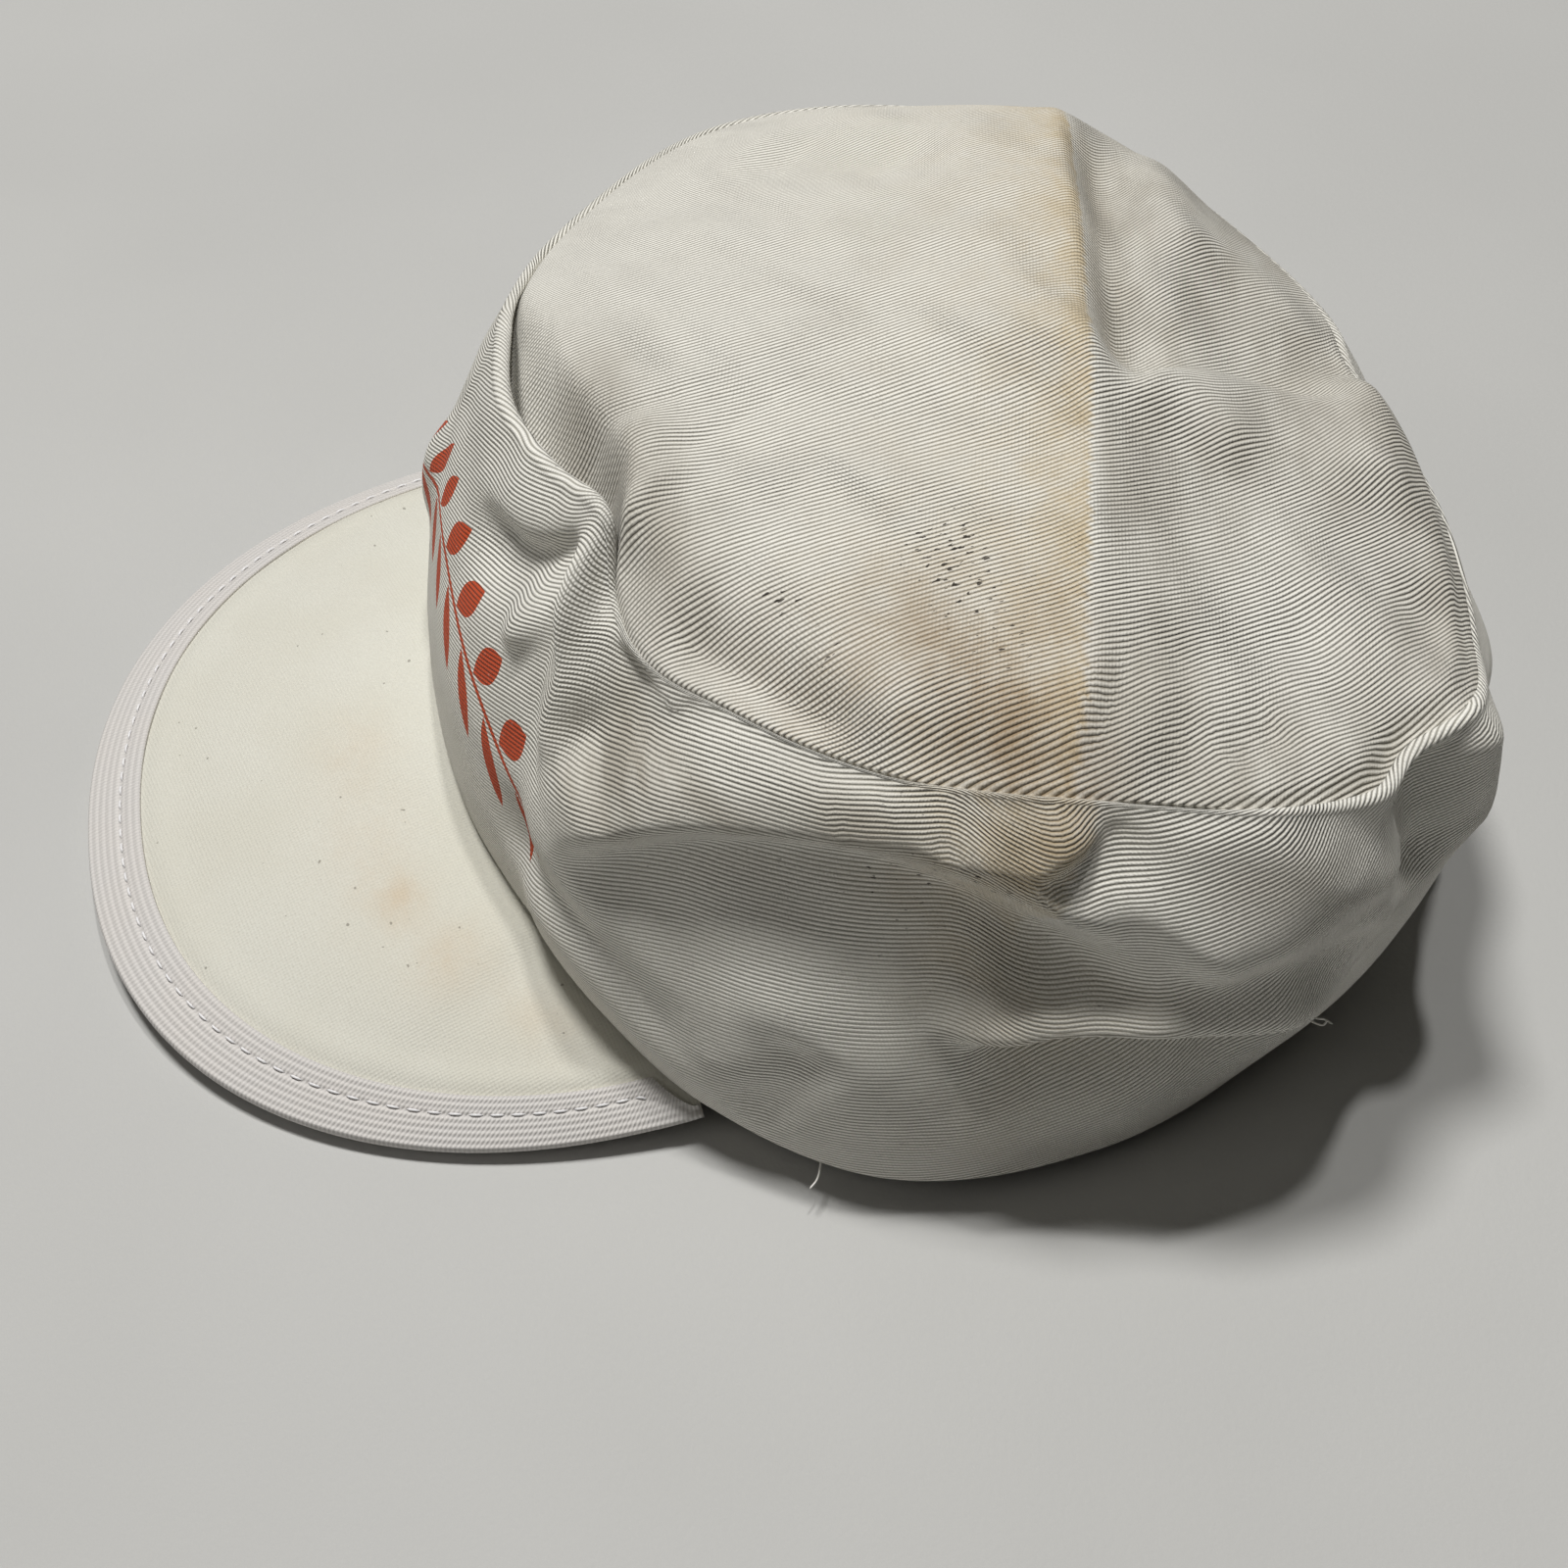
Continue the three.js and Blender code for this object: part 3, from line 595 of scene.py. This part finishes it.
turns, edge_run = visor_turns(VISOR_COLUMNS)
turn_grid = turns[:, None]
root_span = np.linalg.norm(visor_edge(turns) - visor_root(turns), axis=1)[:, None]
lap = np.minimum(BINDING_WIDTH, np.maximum(root_span - 3, 1.5))
out_rows = np.repeat(np.linspace(0, 1, VISOR_ROWS)[None, :], VISOR_COLUMNS, 0)
here, normal, _ = visor_face(np.repeat(turn_grid, VISOR_ROWS, 1), out_rows)
from_edge = (1 - out_rows) * root_span
puff = VISOR_PUFF * np.exp(-((from_edge - lap - 2.5) / 3.2) ** 2)
puff = puff + VISOR_UNEVEN * noise(here[..., 0] / 17, here[..., 1] / 17, 31)
puff = puff * smooth(from_edge / 4) * smooth((root_span - 4) / 12)
upper = here + normal * puff[..., None]
lower = here - normal * VISOR_BOARD
visor_grid = np.concatenate([upper, lower[:, ::-1]], 1)
visor_uv = visor_grid[..., :2].copy()
visor_stain = stains(visor_uv[..., 0], visor_uv[..., 1], VISOR_BROWN)
visor = make_mesh("visor_cloth", visor_grid, {"flat": visor_uv}, False, True, {"brown": visor_stain})

# Ribbon folded round the edge of the visor
RIBBON = 0.6
RIBBON_CLEAR = 0.3
RIB_STEP = 1.25
RIB_HEIGHT = 0.032
STITCH_PLACE = 0.62
STITCH_GROOVE = 0.25
BEND_FLATNESS = 0.45
across_rows = np.linspace(0, 1, 46)


def ribbon_skin(clear, ribbed):
    """One face of the ribbon, over the visor, round its edge and back under it."""
    inward = lap * (1 - across_rows)[None, :]
    upper_face, upper_normal, _ = visor_face(turn_grid + 0 * inward, 1 - inward / root_span)
    rib = RIB_HEIGHT * np.cos(2 * math.pi * inward / RIB_STEP) * ribbed * smooth(inward / 0.5)
    rib = rib - STITCH_GROOVE * ribbed * np.exp(-((inward - lap * STITCH_PLACE) / 0.5) ** 2)
    top = upper_face + upper_normal * (clear + rib)[..., None]
    bottom = upper_face - upper_normal * (VISOR_BOARD + 0.8 * clear)
    edge_face, edge_normal, _ = visor_face(turn_grid, np.ones_like(turn_grid))
    outward = np.cross(np.gradient(visor_edge(turns), axis=0), edge_normal[:, 0])
    outward /= np.linalg.norm(outward, axis=-1)[:, None]
    middle = edge_face[:, 0] - edge_normal[:, 0] * VISOR_BOARD / 2
    half = VISOR_BOARD / 2 + clear
    round_turns = np.radians([70, 45, 20, 0, -20, -45, -70])
    bend = np.stack([middle + edge_normal[:, 0] * half * math.sin(a)
                     + outward * half * BEND_FLATNESS * math.cos(a) for a in round_turns], 1)
    return np.concatenate([top, bend, bottom[:, ::-1]], 1)


outside, inside = ribbon_skin(RIBBON_CLEAR + RIBBON, 1), ribbon_skin(RIBBON_CLEAR, 0)
binding_grid = np.concatenate([outside, inside[:, ::-1]], 1)
ribbon_v = np.concatenate([lap * across_rows[None, :] - lap, 0 * lap + np.linspace(0.4, 3.4, 7)[None, :],
                           3.8 + lap * across_rows[None, :]], 1)
ribbon_v = np.concatenate([ribbon_v, ribbon_v[:, ::-1]], 1)
binding_uv = np.stack([edge_run[:, None] + 0 * ribbon_v, ribbon_v], -1)
binding = make_mesh("visor_binding_ribbon", binding_grid, {"flat": binding_uv}, False, True)


def rod(path, radius, sides=6):
    """Points and faces of a thin round bar along a path, with closed ends."""
    path = np.array(path, float)
    along = np.gradient(path, axis=0)
    along /= np.linalg.norm(along, axis=1)[:, None]
    side = np.cross(along, (0.13, 0.21, 0.97))
    side /= np.linalg.norm(side, axis=1)[:, None]
    up = np.cross(side, along)
    radii = radius * np.array([0.35] + [1.0] * (len(path) - 2) + [0.35])
    spin = 2 * math.pi * np.arange(sides) / sides
    rings = path[:, None] + radii[:, None, None] * (
        np.cos(spin)[None, :, None] * side[:, None] + np.sin(spin)[None, :, None] * up[:, None])
    count = len(path)
    faces = [[k * sides + s, k * sides + (s + 1) % sides,
              (k + 1) * sides + (s + 1) % sides, (k + 1) * sides + s]
             for k in range(count - 1) for s in range(sides)]
    faces += [list(range(sides))[::-1], [(count - 1) * sides + s for s in range(sides)]]
    return rings.reshape(-1, 3), faces


def rods_piece(name, rods):
    """One piece that joins several bars."""
    points, faces, start = [], [], 0
    for ring, quads in rods:
        points.append(ring)
        faces += [[v + start for v in f] for f in quads]
        start += len(ring)
    mesh = bpy.data.meshes.new(name)
    mesh.from_pydata(((np.concatenate(points) - ORIGIN) * MM).tolist(), [], faces)
    close_mesh(mesh, False)
    return add_object(name, mesh)


# Stitches along the ribbon
STITCH_STEP = 3.4
STITCH_LENGTH = 2.3
STITCH_RADIUS = 0.22
STITCHES_LEFT_OUT = 3
stitches = []
stitch_count = int(edge_run[-1] / STITCH_STEP)
for k in range(STITCHES_LEFT_OUT, stitch_count - STITCHES_LEFT_OUT):
    places = (k + 0.5) * STITCH_STEP + np.linspace(-0.5, 0.5, 5) * STITCH_LENGTH
    turn = np.interp(places, edge_run, turns)
    span = np.interp(places, edge_run, root_span[:, 0])
    inward = np.interp(places, edge_run, lap[:, 0]) * STITCH_PLACE
    face, up, _ = visor_face(turn, 1 - inward / span)
    rise = RIBBON_CLEAR + RIBBON + np.array([-0.25, 0.02, 0.08, 0.02, -0.25])
    stitches.append(rod(face + up * rise[:, None], STITCH_RADIUS))
binding_stitches = rods_piece("visor_binding_stitches", stitches)


# Inner band and strap, inside the side band. The band hangs below the hem round the front, and most
# by the near temple.
STRIP_THICKNESS = 1.2
STRIP_ROWS = 22
BAND_INSET = 2.3
BAND_HALF_ANGLE = 160.5
BAND_LOWEST, BAND_TOP = 0.02, 5 / 14
BAND_HANG = 0.05
HANG_HALF_ANGLE, NEAR_HANG_ANGLE, NEAR_HANG_WIDTH = 88, 66, 9
STRAP_INSET = 3.8
STRAP_HALF_ANGLE = 30
STRAP_LOWEST, STRAP_TOP = 1 / 14 + 0.004, 4 / 14 - 0.004


def inner_strip(name, angles, rises, inset, thickness):
    """A strip along the inside of the side band, at a distance from its outer face."""
    angle = angles[:, None]
    count = rises.shape[1]
    edge = np.minimum(np.arange(count), np.arange(count)[::-1])[None, :]
    curl = 0.5 * thickness * (1 - np.sqrt(np.clip(edge / 3, 0, 1)))
    near = side_radius(angle, rises) - inset - curl
    far = side_radius(angle, rises) - inset - thickness + curl
    height = side_height(angle, rises)
    grid = np.concatenate([around(angle, near, height), around(angle, far, height)[:, ::-1]], 1)
    run = np.interp(angles, ANGLES, girth[:-1])[:, None]
    v = rises * BAND_LENGTH
    uv = np.stack([run + 0 * np.concatenate([v, v], 1), np.concatenate([v, v[:, ::-1]], 1)], -1)
    return make_mesh(name, grid, {"flat": uv}, False, True)


band_angles = np.linspace(-BAND_HALF_ANGLE, BAND_HALF_ANGLE, 300)
hang = smooth((HANG_HALF_ANGLE - np.abs(band_angles)) / 10)
near_hang = np.exp(-((band_angles - NEAR_HANG_ANGLE) / NEAR_HANG_WIDTH) ** 2)
lowest = (BAND_LOWEST - BAND_HANG * hang - BAND_HANG * near_hang)[:, None]
band_rises = lowest + (BAND_TOP - lowest) * np.linspace(0, 1, STRIP_ROWS)[None, :]
inner_band = inner_strip("inner_band_cloth", band_angles, band_rises, BAND_INSET, STRIP_THICKNESS)

strap_angles = np.linspace(180 - STRAP_HALF_ANGLE, 180 + STRAP_HALF_ANGLE, 90)
strap_rises = np.repeat(np.linspace(STRAP_LOWEST, STRAP_TOP, STRIP_ROWS)[None, :], len(strap_angles), 0)
strap = inner_strip("snap_strap_plastic", strap_angles, strap_rises, STRAP_INSET, STRIP_THICKNESS)


# Loose ends of thread at the hem
THREAD_RADIUS = 0.16


def thread(angle, rise, points):
    """A thread that starts on the side band and runs through points measured from there."""
    place = np.array([[angle]]), np.array([[rise]])
    base = around(place[0], side_radius(*place), side_height(*place))[0, 0]
    return rod(base + spline(points, 5), THREAD_RADIUS, 5)


threads = rods_piece("thread_ends", [
    thread(74.0, 0.0, [(-1, 0, 0.6), (1.2, -0.8, 0.2), (2.6, -1.6, 0.1), (3.9, -2.9, 0.4)]),
    thread(119.0, 0.26, [(-0.6, 0, 0), (0.4, 1.3, 0.3), (0.2, 2.4, -0.5), (1.2, 3.4, -0.6)]),
    thread(118.4, 0.27, [(-0.6, 0, 0), (0.9, 0.8, 0.5), (1.6, 2.0, 0.4), (1.1, 2.9, 0.9)]),
])


# Materials
class Shader:
    """A material's nodes, made one after another."""

    def __init__(self, name):
        self.material = bpy.data.materials.new(name)
        self.material.use_nodes = True
        self.tree = self.material.node_tree
        self.tree.nodes.clear()
        self.output = self.tree.nodes.new("ShaderNodeOutputMaterial")
        self.surface = self.tree.nodes.new("ShaderNodeBsdfPrincipled")
        self.tree.links.new(self.surface.outputs[0], self.output.inputs[0])

    def put(self, socket, value):
        if isinstance(value, bpy.types.NodeSocket):
            self.tree.links.new(value, socket)
        else:
            socket.default_value = value

    def math(self, operation, *values, clamp=False):
        node = self.tree.nodes.new("ShaderNodeMath")
        node.operation = operation
        node.use_clamp = clamp
        for i, value in enumerate(values):
            self.put(node.inputs[i], value)
        return node.outputs[0]

    def total(self, *values):
        result = values[0]
        for value in values[1:]:
            result = self.math("ADD", result, value)
        return result

    def times(self, a, b, clamp=False):
        return self.math("MULTIPLY", a, b, clamp=clamp)

    def wave(self, value, pitch):
        """A sine wave, one for each pitch."""
        return self.math("SINE", self.times(value, 2 * math.pi / pitch))

    def within(self, value, limit):
        """1 where the value is closer to 0 than the limit."""
        return self.math("LESS_THAN", self.math("ABSOLUTE", value), limit)

    def uv(self, name="flat"):
        node = self.tree.nodes.new("ShaderNodeUVMap")
        node.uv_map = name
        split = self.tree.nodes.new("ShaderNodeSeparateXYZ")
        self.tree.links.new(node.outputs[0], split.inputs[0])
        return node.outputs[0], split.outputs[0], split.outputs[1]

    def place(self):
        return self.tree.nodes.new("ShaderNodeTexCoord").outputs["Object"]

    def value(self, name):
        node = self.tree.nodes.new("ShaderNodeAttribute")
        node.attribute_name = name
        return node.outputs["Fac"]

    def stretch(self, vector, scale):
        node = self.tree.nodes.new("ShaderNodeVectorMath")
        node.operation = "MULTIPLY"
        self.tree.links.new(vector, node.inputs[0])
        node.inputs[1].default_value = scale
        return node.outputs[0]

    def turn(self, vector, angle):
        node = self.tree.nodes.new("ShaderNodeVectorRotate")
        node.rotation_type = "Z_AXIS"
        self.tree.links.new(vector, node.inputs["Vector"])
        node.inputs["Angle"].default_value = angle
        return node.outputs[0]

    def noise(self, vector, scale, detail=2.0, roughness=0.5):
        node = self.tree.nodes.new("ShaderNodeTexNoise")
        self.tree.links.new(vector, node.inputs["Vector"])
        node.inputs["Scale"].default_value = scale
        node.inputs["Detail"].default_value = detail
        node.inputs["Roughness"].default_value = roughness
        return node.outputs[0]

    def between(self, value, low, high, low_out=0.0, high_out=1.0):
        node = self.tree.nodes.new("ShaderNodeMapRange")
        node.interpolation_type = "SMOOTHSTEP"
        self.tree.links.new(value, node.inputs[0])
        for i, number in enumerate((low, high, low_out, high_out)):
            node.inputs[i + 1].default_value = number
        return node.outputs[0]

    def mix(self, factor, a, b, blend="MIX"):
        node = self.tree.nodes.new("ShaderNodeMix")
        node.data_type = "RGBA"
        node.blend_type = blend
        self.put(node.inputs["Factor"], factor)
        for name, value in (("A", a), ("B", b)):
            socket = [s for s in node.inputs if s.name == name and s.type == "RGBA"][0]
            self.put(socket, value)
        return [s for s in node.outputs if s.type == "RGBA"][0]

    def bump(self, height, depth, strength=1.0, under=None):
        node = self.tree.nodes.new("ShaderNodeBump")
        node.inputs["Strength"].default_value = strength
        node.inputs["Distance"].default_value = depth
        self.tree.links.new(height, node.inputs["Height"])
        if under is not None:
            self.tree.links.new(under, node.inputs["Normal"])
        return node.outputs[0]

    def finish(self, colour, rough, normal, sheen=0.0):
        self.put(self.surface.inputs["Base Color"], colour)
        self.put(self.surface.inputs["Roughness"], rough)
        if normal is not None:
            self.put(self.surface.inputs["Normal"], normal)
        self.surface.inputs["Specular IOR Level"].default_value = 0.3
        self.surface.inputs["Sheen Weight"].default_value = sheen
        self.surface.inputs["Sheen Roughness"].default_value = 0.5
        return self.material


def rgb(red, green, blue):
    """A colour from 0 to 255 values as they show on a screen."""
    values = [c / 255 for c in (red, green, blue)]
    return tuple(c / 12.92 if c <= 0.04045 else ((c + 0.055) / 1.055) ** 2.4 for c in values) + (1.0,)


WHITE = rgb(248, 246, 238)
# Painted shade: the colour of the twill's grooves, darker than its ribs
WHITE_GROOVE_SHADE = rgb(178, 175, 164)
YELLOW_STAIN = rgb(208, 190, 155)
BROWN_STAIN = rgb(156, 132, 102)
# Painted shade: the tone multiplied into the cloth where it is shaded
PAINTED_SHADE_TONE = rgb(203, 199, 193)
SPECK = rgb(46, 38, 30)
INK = rgb(196, 78, 40)


# Pitches of yarns, ribs and seams, in millimetres, the first two each along and across the cloth
VISOR_YARNS = (0.55, 0.6)
INNER_YARNS = (0.6, 0.5)
FINE_RIB_STEP = 0.75
INNER_SEAM_STEP = 3.2
INNER_SEAM_HEIGHT = 26.0

# The printed ornament: the height of its middle, and its drop at its half length
PRINT_HEIGHT = 44.0
PRINT_DROP = 10.0
PRINT_HALF_LENGTH = 42.0


def twill(s):
    """Height of the cloth's slanting ribs, from 0 in the grooves to 1 on the ribs."""
    position, along, across = s.uv("weave")
    wander = s.noise(position, 0.06, 2.0)
    line = s.total(s.times(across, 1 / WALE_PITCH), s.times(wander, 0.55))
    rib = s.math("SINE", s.times(s.math("FRACT", line), math.pi))
    cell = s.math("FLOOR", line)
    twist = s.total(s.times(along, 2 * math.pi / YARN_PITCH), s.times(cell, 2.4))
    yarn = s.math("SINE", twist)
    uneven = s.noise(position, 1.5, 3.0, 0.6)
    broken = s.total(0.62, s.times(yarn, 0.10), s.times(uneven, 0.50))
    return s.times(rib, broken)


def plain_weave(s, u, v, pitches):
    """Height of a plain weave, from 0 to 1."""
    yarns = [s.times(s.wave(run, pitch), 0.25) for run, pitch in zip((u, v), pitches)]
    return s.total(0.5, *yarns)


def leaves(s, u, rise):
    """A sprig of slanted leaves on both sides of a thin stem, 1 on the ink."""
    pitch, slant, half_length, half_width, offset = 11.0, math.radians(58), 6.2, 2.3, 6.2
    stem_half_width, stem_reach, leaf_reach = 0.55, 50.0, 45.0
    result = s.times(s.within(rise, stem_half_width), s.within(u, stem_reach))
    for side, shift in ((1, 0.0), (-1, 0.5)):
        cell = s.math("FRACT", s.total(s.times(u, 1 / pitch), shift))
        x = s.times(s.math("SUBTRACT", cell, 0.5), pitch)
        y = s.math("SUBTRACT", s.times(rise, side), offset)
        along = s.total(s.times(x, math.cos(slant)), s.times(y, math.sin(slant)))
        across = s.total(s.times(x, -math.sin(slant)), s.times(y, math.cos(slant)))
        from_middle = s.math("ABSOLUTE", s.times(along, 1 / half_length))
        bulge = s.math("SUBTRACT", 1.0, s.math("POWER", from_middle, 2.0))
        leaf = s.within(across, s.times(bulge, half_width))
        result = s.math("MAXIMUM", result, s.times(leaf, s.within(u, leaf_reach)))
    return result


def crown_material(name, printed):
    """White cotton twill with its wear and stains, painted shade in its grooves, and painted shade in
    patches on the band, in the dish and behind the crease.
    """
    s = Shader(name)
    uv, u, v = s.uv()
    rib = twill(s)
    # Painted shade: the cloth is coloured darker in the grooves between its ribs
    colour = s.mix(s.between(rib, 0.10, 0.75), WHITE_GROOVE_SHADE, WHITE)
    cloudy = s.noise(uv, 0.05, 4.0, 0.6)
    colour = s.mix(s.between(cloudy, 0.42, 0.75, 0.0, 0.30), colour, rgb(206, 202, 193))
    patch = s.noise(uv, 0.11, 5.0, 0.65)
    soaked = s.times(s.between(patch, 0.30, 0.70, 0.45, 1.25), s.between(rib, 0.1, 0.9, 1.15, 0.70))
    for label, stain in (("yellow", YELLOW_STAIN), ("brown", BROWN_STAIN)):
        amount = s.times(s.value(label), soaked, clamp=True)
        colour = s.mix(s.times(amount, 0.85), colour, stain)
    # Painted shade: the cloth is darkened in patches under the seam, on the flank, in the dish and behind
    # the crease, broken up by blotches
    blotch = s.noise(s.stretch(s.turn(uv, 0.3), (0.5, 1.0, 1.0)), 0.10, 3.0, 0.55)
    painted_shade = s.times(s.value("painted_shade"), s.between(blotch, 0.33, 0.67, 0.55, 1.25), clamp=True)
    colour = s.mix(painted_shade, colour, PAINTED_SHADE_TONE, "MULTIPLY")
    ragged = s.noise(s.stretch(s.uv("weave")[0], (0.5, 1.3, 1.0)), 1.05, 2.0, 0.6)
    speck = s.between(s.total(ragged, s.times(s.value("dirt"), 0.135)), 0.745, 0.770)
    speck = s.times(speck, s.between(s.value("dirt"), 0.05, 0.6, 0.2, 0.9))
    colour = s.mix(speck, colour, SPECK)
    if printed:
        middle = s.total(PRINT_HEIGHT, s.times(s.times(u, u), -PRINT_DROP / PRINT_HALF_LENGTH**2))
        ink = leaves(s, u, s.math("SUBTRACT", v, middle))
        worn = s.between(s.noise(uv, 1.1, 4.0, 0.7), 0.28, 0.36, 0.55, 1.0)
        colour = s.mix(s.times(ink, worn), colour, INK)
    fuzz = s.noise(uv, 2.2, 3.0, 0.7)
    crumple = s.noise(s.stretch(s.turn(uv, 1.15), (1.0, 0.5, 1.0)), 0.055, 1.0, 0.5)
    normal = s.bump(crumple, 0.008, 1.0)
    normal = s.bump(rib, 0.00031, 1.0, normal)
    normal = s.bump(fuzz, 0.00012, 0.5, normal)
    return s.finish(colour, 0.88, normal, 0.1)


def visor_material():
    """Fine cream cloth, stained near the hem, with a few dark dots."""
    s = Shader("visor_cloth")
    uv, u, v = s.uv()
    weave = plain_weave(s, s.total(u, s.times(v, 0.25)), s.total(v, s.times(u, -0.25)), VISOR_YARNS)
    fibres = s.noise(uv, 1.9, 4.0, 0.7)
    colour = s.mix(s.between(fibres, 0.3, 0.7), rgb(215, 213, 202), rgb(221, 220, 210))
    tint = s.between(s.noise(uv, 0.035, 3.0), 0.35, 0.7, 0.0, 0.45)
    colour = s.mix(tint, colour, rgb(211, 208, 194))
    soaked = s.between(s.noise(uv, 0.16, 4.0, 0.65), 0.3, 0.7, 0.5, 1.2)
    spot = s.times(s.value("brown"), soaked, clamp=True)
    colour = s.mix(s.times(spot, 0.6), colour, rgb(206, 180, 146))
    dots = s.between(s.noise(uv, 0.62, 1.0, 0.4), 0.765, 0.785)
    colour = s.mix(s.times(dots, 0.6), colour, rgb(110, 104, 92))
    normal = s.bump(weave, 0.0001, 0.7)
    normal = s.bump(fibres, 0.0002, 0.6, normal)
    return s.finish(colour, 0.9, normal, 0.2)


def ribbon_material():
    """Ribbed white ribbon, with painted shade in its grooves and between its fine crosswise ribs."""
    s = Shader("binding_ribbon")
    uv, u, v = s.uv()
    rib_line = s.math("COSINE", s.times(v, 2 * math.pi / RIB_STEP))
    rib_fine = s.wave(u, FINE_RIB_STEP)
    groove = s.between(rib_line, -1.0, -0.45, 1.0, 0.0)
    tone = s.between(s.noise(uv, 0.07, 3.0), 0.35, 0.7, 0.0, 0.5)
    colour = s.mix(tone, rgb(219, 216, 213), rgb(221, 216, 211))
    # Painted shade: the ribbon is coloured darker in its grooves and between its fine crosswise ribs
    colour = s.mix(s.times(groove, 0.24), colour, rgb(176, 172, 170))
    colour = s.mix(s.between(rib_fine, 0.0, 1.0, 0.0, 0.26), colour, rgb(172, 168, 166))
    normal = s.bump(s.total(s.times(rib_line, 0.5), s.times(rib_fine, 0.7)), 0.00012, 0.6)
    return s.finish(colour, 0.62, normal, 0.1)


def inner_material():
    """Plain cotton, with a row of stitches near the upper edge."""
    s = Shader("inner_cotton")
    uv, u, v = s.uv()
    weave = plain_weave(s, u, v, INNER_YARNS)
    tone = s.between(s.noise(uv, 0.06, 4.0, 0.6), 0.35, 0.75)
    colour = s.mix(tone, rgb(222, 220, 214), rgb(206, 200, 188))
    on_seam = s.within(s.math("SUBTRACT", v, INNER_SEAM_HEIGHT), 0.35)
    stitch = s.times(on_seam, s.math("GREATER_THAN", s.wave(u, INNER_SEAM_STEP), -0.3))
    colour = s.mix(s.times(stitch, 0.6), colour, rgb(246, 246, 244))
    return s.finish(colour, 0.9, s.bump(weave, 0.0001, 0.5), 0.1)


def strap_material():
    """Moulded plastic, a little yellowed and worn."""
    s = Shader("strap_plastic")
    marks = s.noise(s.place(), 320.0, 4.0, 0.6)
    tone = s.between(s.noise(s.place(), 55.0, 3.0), 0.35, 0.7)
    colour = s.mix(tone, rgb(236, 236, 231), rgb(224, 222, 212))
    return s.finish(colour, s.between(marks, 0.3, 0.7, 0.34, 0.48), s.bump(marks, 0.00004, 0.3))


def thread_material(name, scale, dark, light, rough):
    """Spun thread."""
    s = Shader(name)
    return s.finish(s.mix(s.noise(s.place(), scale), dark, light), rough, None)


def floor_material():
    """A pale and almost even surface."""
    s = Shader("floor")
    tone = s.between(s.noise(s.place(), 7.0, 3.0), 0.3, 0.7)
    colour = s.mix(tone, rgb(188, 188, 186), rgb(193, 193, 191))
    return s.finish(colour, 0.7, s.bump(s.noise(s.place(), 900.0, 3.0, 0.6), 0.0002, 0.35))


clear_thread = thread_material("clear_thread", 2600.0, rgb(226, 224, 228), rgb(250, 250, 250), 0.28)
loose_thread = thread_material("loose_thread", 1800.0, rgb(214, 212, 206), rgb(244, 243, 238), 0.8)
for piece, material, slot, node in (
    (crown_side, crown_material("side_twill", True), "crown_cloth", "crown_side"),
    (crown_top, crown_material("top_twill", False), "crown_cloth", "crown_top"),
    (visor, visor_material(), "visor_cloth", "visor"),
    (binding, ribbon_material(), "binding_tape", "visor_binding"),
    (binding_stitches, clear_thread, "binding_tape", None),
    (inner_band, inner_material(), "inner_cloth", "inner_band"),
    (strap, strap_material(), "strap_plastic", "snap_strap"),
    (threads, loose_thread, "crown_cloth", None),
):
    piece.data.materials.append(material)
    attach(piece, "root")
    if node:
        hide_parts(node)

# Floor, light and camera
FLOOR_REACH = 3.0
floor_corners = [(FLOOR_REACH * x, FLOOR_REACH * y, 0) for x, y in ((-1, -1), (1, -1), (1, 1), (-1, 1))]
floor_mesh = bpy.data.meshes.new("floor")
floor_mesh.from_pydata(floor_corners, [], [(0, 1, 2, 3)])
floor_mesh.materials.append(floor_material())
add_object("floor", floor_mesh)
LAMP_TARGET = Vector((0, 0, 0.03))


def soft_light(name, place, size, power, colour):
    """A round lamp that faces the cap."""
    data = bpy.data.lights.new(name, "AREA")
    data.shape = "DISK"
    data.size = size
    data.energy = power
    data.color = colour
    lamp = add_object(name, data)
    lamp.location = place
    lamp.rotation_mode = "QUATERNION"
    lamp.rotation_quaternion = (LAMP_TARGET - Vector(place)).to_track_quat("-Z", "Y")


def sky(azimuth, elevation, distance):
    """The place of a lamp, seen from the middle; azimuth 0 is +X, 90 is +Y."""
    a, e = math.radians(azimuth), math.radians(elevation)
    level = distance * math.cos(e)
    return level * math.cos(a), level * math.sin(a), distance * math.sin(e)


soft_light("lamp_above", sky(142, 82, 2.0), 0.11, 11.0, (1.0, 0.99, 0.97))
soft_light("lamp_side", sky(212, 77, 2.0), 0.35, 27.0, (1.0, 0.99, 0.97))
soft_light("lamp_front", sky(-75, 35, 1.5), 1.0, 1.8, (1.0, 0.97, 0.92))
world = bpy.data.worlds.new("world")
bpy.context.scene.world = world
world.use_nodes = True
background = world.node_tree.nodes["Background"]
background.inputs["Color"].default_value = (1.0, 0.95, 0.86, 1.0)
background.inputs["Strength"].default_value = 0.029

CAMERA_AZIMUTH = math.radians(78)
CAMERA_ELEVATION = math.radians(50)
CAMERA_DISTANCE = 0.42
CAMERA_TARGET = Vector((0.008, 0.005, 0.0))
back = Vector((math.sin(CAMERA_AZIMUTH) * math.cos(CAMERA_ELEVATION),
               -math.cos(CAMERA_AZIMUTH) * math.cos(CAMERA_ELEVATION), math.sin(CAMERA_ELEVATION)))
camera_data = bpy.data.cameras.new("camera")
camera_data.sensor_width = 36.0
camera_data.lens = 54.0
camera_data.clip_start = 0.01
camera = add_object("camera", camera_data)
camera.location = CAMERA_TARGET + back * CAMERA_DISTANCE
camera.rotation_mode = "QUATERNION"
camera.rotation_quaternion = (-back).to_track_quat("-Z", "Y")
bpy.context.scene.camera = camera
bpy.context.scene.view_settings.view_transform = "Standard"
